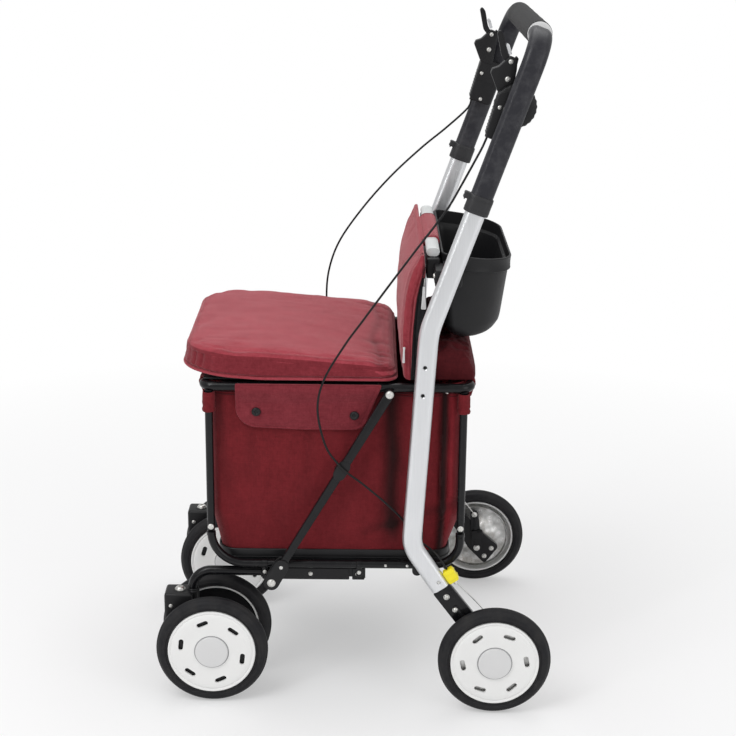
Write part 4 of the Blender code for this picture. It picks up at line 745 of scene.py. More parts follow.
def rim_mesh(dark_inside):
    """A white wheel disc with six slanted oval slots, a rolled lip, an open back and a hub."""
    face, back, r = RIM_FACE, -RIM_FACE, RIM_RADIUS
    profile = [
        (0.0, face - 0.0012), (0.024, face - 0.0012), (0.0262, face - 0.0016), (0.03, face - 0.0014),
        (0.04, face - 0.0006), (0.05, face - 0.0001), (0.0545, face), (0.0562, face - 0.0004),
        (0.0572, face - 0.0011), (0.0582, face - 0.0004), (0.0598, face + 0.0001),
        (r - 0.0003, face - 0.0004), (r, face - 0.0014), (r, back + 0.0008), (r - 0.0008, back),
        (r - 0.0024, back),
        (r - 0.003, back + 0.0008), (r - 0.0032, face - 0.004), (0.05, face - 0.0034),
        (0.013, face - 0.0034), (0.012, back + 0.004), (0.0108, -0.0172), (0.0, -0.0172),
    ]
    slots = []
    for index in range(6):
        angle = math.radians(46 + 60 * index)
        middle = Vector((0.044 * math.cos(angle), 0.044 * math.sin(angle)))
        heading = angle + math.radians(98)
        reach = Vector((math.cos(heading), math.sin(heading))) * 0.0052
        flat = capsule(middle - reach, 0.0034, middle + reach, 0.00339, 8)
        slots.append(loft([[(x, y, h) for x, y in flat] for h in (0.004, 0.016)]))
    rim = Shape().add(carved(turned(profile, MIDDLE, UP, 96), slots, 0.00002))
    cap = [
        (0.0, face + 0.0016), (0.015, face + 0.0017), (0.0222, face + 0.0014), (0.0229, face + 0.0007),
        (0.023, face - 0.0008), (0.0, face - 0.0008),
    ]
    rim.add(turned(cap, MIDDLE, UP, 72), 1)
    # Painted shade: a grey ring at the foot of the groove round the cap.
    groove = [
        (0.0231, face - 0.0009), (0.0243, face - 0.0009), (0.0243, face - 0.0015), (0.0231, face - 0.0015),
    ]
    rim.add(turned(groove, MIDDLE, UP, 72), 2)
    if dark_inside:
        web = [(0.0121, 0.0052), (0.0576, 0.0052), (0.0576, 0.0038), (0.0121, 0.0038)]
        rim.add(turned(web, MIDDLE, UP, 48), 3)
    return rim


def drum_mesh():
    """The pressed steel brake drum inside a rear wheel, with a rolled edge and five shallow ribs."""
    profile = (
        (0.0125, -0.0125), (0.02, -0.0128), (0.03, -0.007), (0.04, -0.004), (0.05, -0.0058),
        (0.0515, -0.009), (0.0522, -0.0088), (0.0528, -0.003), (0.0528, 0.0034), (0.0125, 0.0034),
    )
    rings = []
    for r, h in profile:
        ribbed = 0.0011 if 0.018 < r < 0.048 and h < 0 else 0.0
        ring = [(r * math.cos(a), r * math.sin(a), h - ribbed * math.cos(5 * a)) for a in angles(80)]
        rings.append(ring)
    return Shape().add(loft([*rings, rings[0]], False))


def make_wheels():
    tyre, drum = tyre_mesh(), drum_mesh()
    rims = {True: rim_mesh(True), False: rim_mesh(False)}
    spins = iter((18, 0, 41, 12, 31, 50))
    for side_name, side in SIDES.items():
        places = [(f"rear_wheel_{side_name}", WHEEL_X, side * REAR_WHEEL_Y, side)]
        for which, outward in (("outer", side), ("inner", -side)):
            y = side * CASTER_Y + outward * 0.0426
            places.append((f"front_wheel_{side_name}_{which}", -WHEEL_X, y, outward))
        for name, x, y, outward in places:
            turn = Matrix.Translation((x, y, TYRE_RADIUS)) @ Matrix.Rotation(-outward * math.pi / 2, 4, "X")
            spun = turn @ Matrix.Rotation(math.radians(next(spins)), 4, "Z")
            put_wheel_part(tyre.placed(spun), name, "tyre", "tyre", "tyre_rubber", 30)
            rim = rims[x < 0].placed(spun)
            put_wheel_part(rim, name, "rim", "white cap groove black", "white_plastic", 32)
            if x > 0:
                drum.placed(turn).put(f"{name}_drum", "drum", name, "zinc", sharp=40)


def put_wheel_part(shape, body, part, looks, slot, sharp):
    node_name = f"{body}_{part}"
    shape.put(f"{node_name}_wheel_look", looks, body, slot, node_name, sharp=sharp)


# Rear frame: side tubes, arms, cross bar and brake parts

TUBE_END = Vector((0.1214, 0.1778))
LOWER_BEND = Vector((0.0797, 0.2402))
DOWN_TUBE = (TUBE_END - LOWER_BEND).normalized()
TUBE_WIDTH, TUBE_DEPTH = 0.027, 0.016
BRAKE_PIVOT = (0.1982, 0.0681)
BRAKE_TIP = (0.1929, 0.1262)
AXLE = Vector((WHEEL_X, TYRE_RADIUS))
SCREWS = ((0.0931, 0.4976), (0.0908, 0.4586))
RIVET = (0.118, 0.1885)


def along_arm(u, v):
    """A point beside the lower end of a side tube: u down along it from its end, v to the rear."""
    return TUBE_END + DOWN_TUBE * u + Vector((-DOWN_TUBE.y, DOWN_TUBE.x)) * v


def make_side_tube(side_name, side):
    bend = handle_point((0.5447 - COLLAR_Z) / math.cos(LEAN))
    corners = (handle_point(0.13), bend, (LOWER_BEND.x, 0, LOWER_BEND.y), (TUBE_END.x, 0, TUBE_END.y))
    path = subdivided(rounded_path(corners, (0.1, 0.045)), 0.02)
    section = oval_section(TUBE_WIDTH, TUBE_DEPTH)
    plug = [
        (0.0, -0.0028), (0.001, -0.0028), (0.0014, -0.0024), (0.0025, -0.0026), (0.0025, -0.0041),
        (0.0, -0.0041),
    ]
    rivet = [(0.0, 0.0008), (0.0012, 0.0008), (0.002, 0.0003), (0.002, -0.004), (0.0, -0.004)]
    y = side * TUBE_Y
    face = y + side * TUBE_DEPTH / 2
    holes = []
    for (x, z), radius in ((SCREWS[0], 0.0026), (SCREWS[1], 0.0026), (RIVET, 0.0022)):
        cone = [
            (0.0, 0.004), (radius * 1.5, 0.004), (radius * 1.5, 0.0004), (radius, -0.0009),
            (radius, -0.0042), (0.0, -0.0042),
        ]
        holes.append(turned(cone, (x, face, z), (0, side, 0), 28))
    tube = sweep([(p.x, y, p.z) for p in path], section, (0, 1, 0))
    name = f"side_tube_{side_name}"
    shape = Shape().add(carved(tube, holes))
    shape.put(f"{name}_satin", "silver", "rear_frame", "satin_aluminium", name, sharp=42)
    trim = Shape()
    for x, z in SCREWS:
        trim.add(turned(plug, (x, face, z), (0, side, 0), 20))
    trim.add(turned(rivet, (RIVET[0], face - side * 0.0012, RIVET[1]), (0, side, 0), 20), 1)
    trim.put(f"{name}_screws", "black bolt", "rear_frame", "zinc", sharp=38)


def make_rear_arm(side_name, side):
    """A black folded plate with bolts, and the axle that the rear wheel turns on."""
    along = (AXLE - TUBE_END).normalized()
    rearward = Vector((-along.y, along.x))
    start = 0.00125 - (AXLE - TUBE_END).length

    def outline(spots, radii):
        return outline_of([AXLE + along * u + rearward * v for u, v in spots], radii)

    arm = outline((
        (start, -0.0135), (-0.02, -0.0145), (0.0023, -0.0175), (0.0413, -0.0127),
        (0.0308, 0.0239), (0.004, 0.0185), (-0.02, 0.0145), (start, 0.0135),
    ), (0.001, 0.02, 0.006, 0.005, 0.006, 0.012, 0.02, 0.001))
    low, high = start + 0.03, -0.028
    rib = outline(((low, -0.0035), (high, -0.0035), (high, 0.0035), (low, 0.0035)), 0.0034)
    axle = [(0.0, 0.0), (0.0062, 0.0), (0.0062, 0.0012), (0.004, 0.0014), (0.004, 0.018), (0.0, 0.018)]
    inner, outer = 0.1935, 0.2035
    shape = Shape().add(plate(arm, side * inner, side * outer, 0.0012, 3))
    shape.add(turned(axle, (AXLE.x, side * outer, AXLE.y), (0, side, 0), 24), 1)
    for u in (0.0145, 0.0375):
        x, z = along_arm(u, 0.0)
        shape.bolt(side, x, outer, z, 0.0043, 0.0028)
        shape.bolt(side, x, inner, z, 0.004, 0.0024, -1)
    for x, z in ((0.2112, 0.0518), (0.2225, 0.0655)):
        shape.bolt(side, x, inner, z, 0.004, 0.0026, -1)
    shape.add(plate(rib, side * (outer - 0.0005), side * (outer + 0.0009), 0.0005))
    name = f"rear_arm_{side_name}"
    shape.put(f"{name}_plate", "paint bolt", "rear_frame", "black_paint", name)


def make_brake_arm(side_name, side):
    inner, outer = 0.1892, 0.1931
    lever = capsule(BRAKE_PIVOT, 0.009, BRAKE_TIP, 0.0065)
    spine = capsule((0.1979, 0.0735), 0.003, (0.1935, 0.1185), 0.0024, 8)
    foot = outline_of(((0.189, 0.084), (0.2075, 0.089), (0.2065, 0.101), (0.1885, 0.0985)), 0.002)
    shape = Shape().add(plate(lever, side * inner, side * outer))
    shape.add(plate(spine, side * (inner - 0.0014), side * (inner + 0.0004)))
    shape.bolt(side, BRAKE_PIVOT[0], inner, BRAKE_PIVOT[1], 0.0052, 0.0032, -1)
    shape.bolt(side, BRAKE_TIP[0], inner, BRAKE_TIP[1], 0.0046, 0.0034, -1)
    shape.add(plate(foot, side * (inner - 0.003), side * (inner + 0.0004), 0.0008))
    name = f"brake_arm_{side_name}"
    shape.put(f"{name}_lever", "paint bolt", name, "zinc", name)

    x, z = along_arm(0.0016, 0.0216)
    start = Vector((x, side * TUBE_Y, z))
    middle = Vector((0.168, side * 0.1935, 0.158))
    end = Vector((BRAKE_TIP[0] - 0.0015, side * 0.188, BRAKE_TIP[1] + 0.003))
    route = [start, start.lerp(middle, 0.5) + Vector((0.001, 0, -0.001)), middle, end]
    wire = Shape().add(sweep(smooth_route(route, 0.006), round_section(0.0007, 8)))
    piece = wire.piece(f"brake_wire_{side_name}", "bolt")
    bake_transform(piece)


def make_adjuster(side_name, side):
    """A yellow end block with two ribs and a steel barrel."""
    nut = [(0.0, -0.001), (0.003, -0.001), (0.003, 0.004), (0.0022, 0.0046), (0.0, 0.0046)]
    middle = -0.0084

    def outline(place, half, low, height, radius):
        spots = ((-half, 0.0), (half, 0.0), (half, height), (-half, height))
        return outline_of([along_arm(place + u, low + v) for u, v in spots], radius)

    y = side * TUBE_Y
    body = outline(middle, 0.01, 0.0138, 0.0156, 0.0028)
    shape = Shape().add(plate(body, y - 0.006, y + 0.006, 0.0012, 3))
    for step in (-0.0045, 0.0045):
        rib = outline(middle + step, 0.0011, 0.0165, 0.0135, 0.0008)
        shape.add(plate(rib, y - 0.0066, y + 0.0066, 0.0004))
    low = along_arm(0.0014, 0.0216)
    shape.add(turned(nut, (low.x, y, low.y), (DOWN_TUBE.x, 0, DOWN_TUBE.y), 20), 1)
    name = f"cable_adjuster_{side_name}"
    shape.put(f"{name}_block", "yellow bolt", "rear_frame", "yellow_plastic", name)


def hollow_bar(outer, inner, y_from, y_to):
    """A straight sleeve round the cross bar, between two closed outlines."""
    rings = []
    for outline, y in ((outer, y_from), (outer, y_to), (inner, y_to), (inner, y_from), (outer, y_from)):
        rings.append([(BAR_X + a, y, BAR_Z + b) for a, b in outline])
    return loft(rings, False)


def make_cross_bar():
    """The bar, whose bare ends show beside the backrest's loop."""
    section = [(b, a) for a, b in oval_section(0.018, 0.012)]
    stops = [BAR_HALF, BAR_HALF - 0.0004, BAR_HALF - 0.0012, 0.085]
    path = [(BAR_X, y, BAR_Z) for y in [-stop for stop in stops] + stops[::-1]]
    scales = (0.93, 0.98, 1.0, 1.0, 1.0, 1.0, 0.98, 0.93)
    bar = Shape().add(sweep(path, section, (1, 0, 0), scales=scales))
    bar.put("cross_bar_satin", "light_bar", "rear_frame", "satin_aluminium", "cross_bar", sharp=42)


def make_clamp(side_name, side):
    """A black clamp that joins the cross bar to a side tube."""
    shape = Shape()
    shape.add(side_block(side, (0.094, 0.12, 0.6057), (0.112, 0.1518, 0.6327), 0.0022, 4))
    shape.add(side_block(side, (0.1045, 0.1478, 0.6037), (0.14, 0.1902, 0.6262), 0.002, 4))
    for z in (0.6098, 0.62):
        shape.add(side_block(side, (0.1036, 0.152, z - 0.0008), (0.105, 0.1885, z + 0.0008), 0.0006, 2))
    for y in (0.1285, 0.143):
        shape.add(bolt_head((0.103, side * y, 0.606), (0, 0, -1), 0.0034, 0.002), 1)
    shape.add(bolt_head((0.1045, side * 0.172, 0.6149), (-1, 0, 0), 0.004, 0.0024), 1)
    shape.add(bolt_head((0.133, side * 0.18, 0.604), (0, 0, -1), 0.0036, 0.002), 1)
    name = f"cross_bar_clamp_{side_name}"
    shape.put(f"{name}_block", "black bolt", "rear_frame", "black_plastic", name)


# Brake cables: the routes of the model

CABLE_RADIUS = 0.0015
CABLE_STEP = 0.018
CLIP_PROUD = 0.0004


def smooth_route(points, step):
    """Points at an even step along a smooth curve through the route's own points."""
    points = [Vector(point) for point in points]
    ends = [2 * points[0] - points[1], *points, 2 * points[-1] - points[-2]]
    fine = []
    for p0, p1, p2, p3 in zip(ends, ends[1:], ends[2:], ends[3:]):
        fine += [curve_point(p0, p1, p2, p3, index / 20) for index in range(20)]
    fine.append(points[-1])
    length = sum((b - a).length for a, b in zip(fine, fine[1:]))
    count = round(length / step)
    route, walked, wanted = [fine[0]], 0.0, length / count
    for a, b in zip(fine, fine[1:]):
        stride = (b - a).length
        while walked + stride >= wanted - 1e-9 and len(route) < count:
            route.append(a.lerp(b, (wanted - walked) / stride))
            wanted += length / count
        walked += stride
    route.append(fine[-1])
    return route


def curve_point(p0, p1, p2, p3, t):
    """A place on a smooth curve from p1 to p2; the others give it its way there."""
    return 0.5 * (
        2 * p1 + (p2 - p0) * t + (2 * p0 - 5 * p1 + 4 * p2 - p3) * t**2
        + (3 * p1 - p0 - 3 * p2 + p3) * t**3
    )


def cable_routes():
    gap = 0.0003
    leave = (
        handle_point(0.0873 - gap, 0.0183, HOUSING_Y),
        handle_point(0.0873 - 0.014, 0.0183 + 0.0008, HOUSING_Y + 0.0008),
    )
    clip_y = 0.1765 + 0.01 + CLIP_PROUD + gap + CABLE_RADIUS
    bows = {
        "left": (
            (0.1531, 0.1806, 0.7703), (0.1352, 0.184, 0.737), (0.1165, 0.188, 0.7049),
            (0.0781, 0.195, 0.6538), (0.0415, 0.2005, 0.6043), (0.0093, 0.203, 0.5593),
            (-0.0128, 0.2035, 0.5278), (-0.0404, 0.202, 0.4788), (-0.049, 0.2, 0.436),
            (-0.039, 0.1965, 0.3855), (-0.0235, 0.1935, 0.359),
        ),
        "right": (
            (0.132, 0.18, 0.756), (0.095, 0.19, 0.723), (0.05, 0.199, 0.678),
            (0.008, 0.204, 0.628), (-0.0275, 0.2055, 0.5757), (-0.044, 0.2045, 0.53),
            (-0.048, 0.203, 0.485), (-0.044, 0.2, 0.43), (-0.033, 0.1965, 0.385),
            (-0.021, 0.1935, 0.357),
        ),
    }
    lower = (
        (-0.0093, clip_y, 0.3424), (0.0112, 0.1905, 0.3275), (0.0415, 0.186, 0.2995),
        (0.0663, 0.182, 0.273), (0.09, 0.1815, 0.242), (0.1075, 0.1845, 0.2285),
        (0.118, 0.1935, 0.221),
    )
    ends = []
    for before in (0.009, 0.0):
        x, z = along_arm(-(0.0084 + 0.01 + gap) - before, TUBE_WIDTH / 2 + gap + 0.0078)
        ends.append((x, TUBE_Y, z))
    routes = {}
    for side_name, side in SIDES.items():
        points = (*leave, *bows[side_name], *lower, *ends)
        routes[side_name] = [Vector((x, side * y, z)) for x, y, z in points]
    return routes


def make_cables():
    """Both cables follow the handle at their upper end and the rear frame below."""
    for side_name, route in cable_routes().items():
        path = smooth_route(route, CABLE_STEP / 3)
        length = sum((b - a).length for a, b in zip(path, path[1:]))
        shape = Shape().add(sweep(path, round_section(CABLE_RADIUS, 12)))
        piece = shape.piece(f"brake_cable_{side_name}_sheath", "cable")
        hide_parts(f"brake_cable_{side_name}")
        tuple(path[0])
        [tuple(p) for p in path]
        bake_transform(piece)
        print("cable", side_name, round(length, 4))


# Handle

HANDLE_WIDTH, HANDLE_DEPTH = 0.03, 0.019


def make_handle():
    low = COLLAR_START + 0.001
    spots = ((low, -TUBE_Y), (GRIP_AT, -TUBE_Y), (GRIP_AT, TUBE_Y), (low, TUBE_Y))
    corners = [handle_point(along, 0, y) for along, y in spots]
    path = subdivided(rounded_path(corners, (0.04, 0.04), math.radians(4)), 0.03)
    section = [(b, a) for a, b in oval_section(HANDLE_WIDTH, HANDLE_DEPTH)]
    tube = Shape().add(sweep(path, section, FORWARD))
    tube.put("handle_tube_painted", "handle_paint_highlight", "handle", "black_paint", "handle_tube", sharp=42)

    end = [(0.0165, 0.1478), (0.0162, 0.1496), (0.0156, 0.1502), (0.0148, 0.15), (0.0148, 0.1482)]
    profile = [(r, -h) for r, h in reversed(end)]
    for index in range(1, 48):
        swell = 0.00018 * math.sin(index * 1.7) + 0.00012 * math.sin(index * 0.6)
        profile.append((0.0165 + swell, -0.1478 + 0.2956 * index / 48))
    centre = handle_point(GRIP_AT)
    grip = Shape().add(turned(profile + end, centre, (0, 1, 0), 64))
    grip.put("handle_grip_foam", "foam", "handle", "grip_foam", "handle_grip", sharp=50)
    ring = [(0.0, 0.0), (0.0152, 0.0), (0.0158, 0.0004), (0.0158, 0.001), (0.0152, 0.0014), (0.0, 0.0014)]
    rings = Shape()
    for side in SIDES.values():
        rings.add(turned(ring, centre + Vector((0, side * GRIP_HALF, 0)), (0, side, 0), 48))
    rings.put("handle_grip_end_rings", "cap", "handle", "white_plastic", sharp=38)


def leg_band(y, stations):
    """A band round the handle's leg: (along, offset from its surface) stations, the first one again last."""
    rings = []
    for along, offset in stations:
        centre = handle_point(along, 0, y)
        section = oval_section(HANDLE_WIDTH + 2 * offset, HANDLE_DEPTH + 2 * offset)
        rings.append([centre + FORWARD * a + Vector((0, b, 0)) for a, b in section])
    return loft(rings, False)


def make_collar(side_name, side):
    """A smooth collar with a nub on its front, and the sprung button that sets the height."""
    start, end = COLLAR_START, COLLAR_END
    sleeve = (
        (start, 0.0003), (start, 0.001), (start + 0.0006, 0.0017), (start + 0.0018, 0.0019),
        (end - 0.0022, 0.0018), (end - 0.001, 0.0015), (end - 0.0002, 0.0008), (end, 0.0003),
        (start, 0.0003),
    )
    nub = beside_handle((
        (0.014, 0.0172), (0.0215, 0.0177), (0.0229, 0.0162), (0.0222, 0.0128), (0.019, 0.0096),
        (0.0159, 0.0082), (0.014, 0.005),
    ), (0.0006, 0.0012, 0.0014, 0.002, 0.0022, 0.0014, 0.0006))
    rim = [(0.0034, 0.0), (0.0046, 0.0), (0.0048, 0.0006), (0.0044, 0.0012), (0.0034, 0.0012)]
    button = [(0.0, 0.0058), (0.0014, 0.0056), (0.0026, 0.0048), (0.0032, 0.0036), (0.0032, 0.0), (0.0, 0.0)]
    band = ((-0.0005, 0.0016), (-0.0003, 0.0021), (0.0003, 0.0021), (0.0005, 0.0016), (-0.0005, 0.0016))
    y = side * TUBE_Y
    shape = Shape().add(leg_band(y, sleeve))
    shape.add(plate(nub, y - 0.006, y + 0.006, 0.0012, 3))
    shape.add(turned(rim, handle_point(BUTTON_AT, 0.02, y), FORWARD, 28))
    for place in (start + 0.0052, end - 0.0052):
        shape.add(leg_band(y, [(place + along, offset) for along, offset in band]))
    name = f"collar_{side_name}"
    shape.put(f"{name}_moulding", "collar", "handle", "black_plastic", name)
    cap = Shape().add(turned(button, handle_point(BUTTON_AT, 0.0175, y), FORWARD, 28))
    name = f"height_button_{side_name}"
    cap.put(f"{name}_cap", "button", name, "black_plastic", name)


def clamp_knob(side):
    """A round knob with a scalloped edge and an open middle."""
    centre = handle_point(0.1373)
    profile = (
        (0.0, 0.02), (0.0, 0.0262), (0.0008, 0.0272), (0.0026, 0.0277), (0.006, 0.0276),
        (0.0082, 0.0268), (0.0094, 0.0248), (0.0097, 0.015),
    )
    rings = []
    for height, radius in profile:
        scallop = 0.0004 if 0.0255 < radius else 0.0
        ring = []
        for angle in angles(96):
            r = radius + scallop * math.cos(24 * angle)
            spot = (centre.x + r * math.cos(angle), side * (0.1787 + height), centre.z + r * math.sin(angle))
            ring.append(spot)
        rings.append(ring)
    return loft(rings)


def make_lever(side_name, side):
    """A lever and its housing, with a ribbed grip edge, a cable boot and pale screws. Only the left one
    has a clamp knob."""
    bracket = beside_handle((
        (0.0262, 0.1455), (0.044, 0.166), (0.0435, 0.1715), (0.037, 0.1765), (0.031, 0.188),
        (0.028, 0.1935), (0.018, 0.193), (0.014, 0.18), (0.008, 0.1455),
    ), (0.004, 0.004, 0.002, 0.004, 0.006, 0.003, 0.004, 0.01, 0.001))
    body = beside_handle((
        (-0.01, 0.0885), (0.0225, 0.0885), (0.0262, 0.147), (0.018, 0.152), (-0.01, 0.15),
    ), (0.004, 0.006, 0.006, 0.006, 0.004))
    ribs = []
    for index in range(9):
        along = 0.0945 + index * 0.0045
        edge = 0.0225 + (along - 0.0885) * (0.0262 - 0.0225) / (0.147 - 0.0885)
        ribs.append(beside_handle((
            (edge - 0.0012, along - 0.0009), (edge + 0.0006, along - 0.0007),
            (edge + 0.0006, along + 0.0007), (edge - 0.0012, along + 0.0009),
        ), (0.0002, 0.0005, 0.0005, 0.0002)))
    seam = beside_handle(((-0.0098, 0.1184), (0.024, 0.1184), (0.024, 0.1192), (-0.0098, 0.1192)))
    hook = beside_handle((
        (0.0201, 0.196), (0.0166, 0.194), (0.015, 0.1813), (0.0176, 0.1813), (0.019, 0.1915),
        (0.0215, 0.194),
    ), (0.0008, 0.002, 0.0008, 0.0008, 0.001, 0.0008))
    blade = beside_handle((
        (0.023, 0.1855), (0.0275, 0.183), (0.0382, 0.1895), (0.0462, 0.2025), (0.0533, 0.2144),
        (0.0526, 0.2193), (0.0462, 0.217), (0.034, 0.1963), (0.024, 0.189),
    ), (0.002, 0.004, 0.012, 0.05, 0.0024, 0.0022, 0.012, 0.02, 0.002))
    wedge = beside_handle((
        (0.0266, 0.1963), (0.03, 0.1945), (0.0375, 0.204), (0.0375, 0.2069), (0.034, 0.2062),
    ), (0.001,) * 5)
    shape = Shape().add(plate(bracket, side * 0.165, side * 0.179, 0.0012, 3))
    shape.add(plate(body, side * 0.1655, side * 0.1887, 0.0018, 4))
    for rib in ribs:
        shape.add(plate(rib, side * 0.168, side * 0.1862, 0.0004))
    shape.add(plate(seam, side * 0.1653, side * 0.1659, 0.0001, 1))

    top = handle_point(0.146, 0.0188, side * HOUSING_Y)
    axis = handle_point(0.0873, 0.0183, side * HOUSING_Y) - top
    end = axis.length
    boot = [(0.0, 0.0), (0.0044, 0.0)]
    for index in range(10):
        h = 0.006 + index * 0.0044
        boot += [(0.0042, h), (0.0045, h + 0.0011), (0.0042, h + 0.0022), (0.0039, h + 0.0033)]
    boot += [(0.0042, end - 0.006), (0.0036, end - 0.004), (0.0034, end - 0.001), (0.0028, end)]
    boot.append((0.0, end))
    shape.add(turned(boot, top, axis, 24), 2)
    for forward, along, radius, near, far in (
        (0.0187, 0.13, 0.0026, 0.1655, 0.1887), (0.0068, 0.0938, 0.0026, 0.1655, 0.1887),
        (0.021, 0.1657, 0.0034, 0.165, 0.179), (0.0252, 0.1875, 0.003, 0.165, 0.179),
    ):
        x, _, z = handle_point(along, forward)
        shape.bolt(side, x, near, z, radius, 0.0018, -1)
        shape.bolt(side, x, far, z, radius, 0.0012)
    shape.add(plate(hook, side * 0.169, side * 0.175, 0.0004))
    if side_name == "left":
        shape.add(clamp_knob(side))
    name = f"lever_housing_{side_name}"
    shape.put(f"{name}_bracket", "black bolt cable", "handle", "black_plastic", name)

    lever = Shape().add(plate(blade, side * (HOUSING_Y - 0.004), side * (HOUSING_Y + 0.004), 0.0018, 4))
    for near in (HOUSING_Y - 0.0048, HOUSING_Y + 0.004):
        lever.add(plate(wedge, side * near, side * (near + 0.0008), 0.0003), 1)
    name = f"brake_lever_{side_name}"
    lever.put(f"{name}_blade", "black silver", name, "black_plastic", name)


# Links of the fold: seat ring, posts, base rails and struts

RING_FRONT, RING_REAR, RING_Y, RING_Z = -0.2045, 0.157, 0.167, 0.4575
RAIL_Z = 0.198
LINK_DROP = 0.1772
POST_PIVOT_Z = 0.4315
POST_FOOT_Z = POST_PIVOT_Z - LINK_DROP
POST_STATIONS = {"front": -0.1975, "rear": 0.148}
FOLD_X = 0.0885
STRUT_TOP = Vector((0.0472, 0.4533))
STRUT_FOOT = Vector((-0.1135, 0.1772))
STRUT_OUTER = 0.1865


def tongue(x, pivot_z, root_z, side):
    """A flat lug, from a tube to the pivot of a post."""
    outline = capsule((x, pivot_z), 0.0048, (x, root_z), 0.0047, 10)
    return plate(outline, side * (RING_Y - 0.002), side * (RING_Y + 0.002), 0.0005)


def make_ring():
    """The seat's tube, with a boss for each fold pivot and each strut, and a lug for each post."""
    spots = ((RING_FRONT, -RING_Y), (RING_REAR, -RING_Y), (RING_REAR, RING_Y), (RING_FRONT, RING_Y))
    corners = [(x, y, RING_Z) for x, y in spots]
    path = subdivided(rounded_path(corners, (0.014,) * 4, math.radians(9), closed=True), 0.03)
    shape = Shape().add(sweep(path, round_section(0.0065, 20), closed=True))
    for side in SIDES.values():
        shape.add(across(FOLD_X, RING_Z, side * RING_Y, side * 0.1902, 0.0075))
        shape.add(across(*STRUT_TOP, side * RING_Y, side * 0.1762, 0.0055))
        shape.add(across(FOLD_X, RING_Z, side * (RING_Y - 0.0078), side * RING_Y, 0.004), 1)
        for x in POST_STATIONS.values():
            shape.add(tongue(x, POST_PIVOT_Z, RING_Z, side))
        for x in (-0.15, -0.06, 0.02, 0.125):
            shape.add(bolt_head((x, side * RING_Y, RING_Z - 0.0064), (0, 0, -1), 0.0026, 0.0014), 1)
    shape.put("seat_ring_tube", "paint bolt", "seat_ring", "black_paint", "seat_ring", sharp=40)


def make_post(place, side_name, side):
    """A round rod with a forked end round each pivot."""
    x, y = POST_STATIONS[place], side * RING_Y
    top, low = POST_PIVOT_Z + 0.006, POST_FOOT_Z - 0.006
    radius, half_gap, fork = 0.0055, 0.0023, 0.014
    rod = [(0.0, low + 0.0138), (radius, low + 0.0138), (radius, top - 0.0138), (0.0, top - 0.0138)]
    shape = Shape().add(turned(rod, (x, y, 0), UP, 24))
    edge = math.asin(half_gap / radius)
    for levels in (
        ((top - fork, radius), (top - 0.001, radius), (top, radius - 0.0007)),
        ((low, radius - 0.0007), (low + 0.001, radius), (low + fork, radius)),
    ):
        for cheek in (-1, 1):
            rings = []
            for z, r in levels:
                turns = even(edge, math.pi - edge, 10)
                rings.append([(x + r * math.cos(turn), y + cheek * r * math.sin(turn), z) for turn in turns])
            shape.add(loft(rings))
    for z in (POST_PIVOT_Z, POST_FOOT_Z):
        shape.add(across(x, z, side * (RING_Y - 0.006), side * (RING_Y + 0.0055), 0.0022, 0.0003, 16), 1)
        shape.bolt(side, x, RING_Y + 0.0053, z, 0.0042, 0.0017)
        shape.bolt(side, x, RING_Y - 0.0053, z, 0.0034, 0.0012, -1)
    name = f"{place}_post_{side_name}"
    shape.put(f"{name}_link", "paint bolt", f"{place}_posts", "black_paint", name)


def make_base_rail(side_name, side):
    shoulder = POST_FOOT_Z - 0.009
    front_x, rear_x = POST_STATIONS.values()
    hinge, foot = (FOLD_X, RING_Z - LINK_DROP), (FOLD_X, RAIL_Z)
    ferrule = [
        (0.0, 0.001), (0.005, 0.001), (0.0064, 0.0), (0.0064, -0.005), (0.0058, -0.0058), (0.0, -0.0058),
    ]
    band = [(0.0061, -0.0042), (0.0069, -0.0036), (0.0069, 0.0036), (0.0061, 0.0042)]
    y = side * RING_Y
    corners = ((front_x, y, shoulder), (front_x, y, RAIL_Z), (rear_x, y, RAIL_Z), (rear_x, y, shoulder))
    path = subdivided(rounded_path(corners, (0.046, 0.036), math.radians(6)), 0.03)
    shape = Shape().add(sweep(path, round_section(0.006, 20), (0, 1, 0)))
    for x in (front_x, rear_x):
        shape.add(tongue(x, POST_FOOT_Z, shoulder - 0.006, side))
        shape.add(turned(ferrule, (x, y, shoulder), UP, 24))
    shape.add(plate(capsule(hinge, 0.007, foot, 0.0069), side * 0.1872, side * 0.1902))
    shape.add(across(*foot, y, side * 0.189, 0.0055))
    shape.bolt(side, hinge[0], 0.1872, hinge[1], 0.0046, 0.0006, -1)
    for x in (-0.1235, 0.008):
        shape.add(side_block(side, (x - 0.004, 0.1613, 0.1795), (x + 0.004, 0.17, RAIL_Z), 0.001))
        shape.add(turned(band, (x, y, RAIL_Z), (1, 0, 0), 28))
        shape.bolt(side, x, 0.1699, 0.186, 0.003, 0.0018)
    for x in (-0.1, 0.045, 0.075):
        shape.bolt(side, x, RING_Y + 0.0058, RAIL_Z, 0.002, 0.0012)
    name = f"base_rail_{side_name}"
    shape.put(f"{name}_tube", "paint bolt", "base", "black_paint", name, sharp=38)


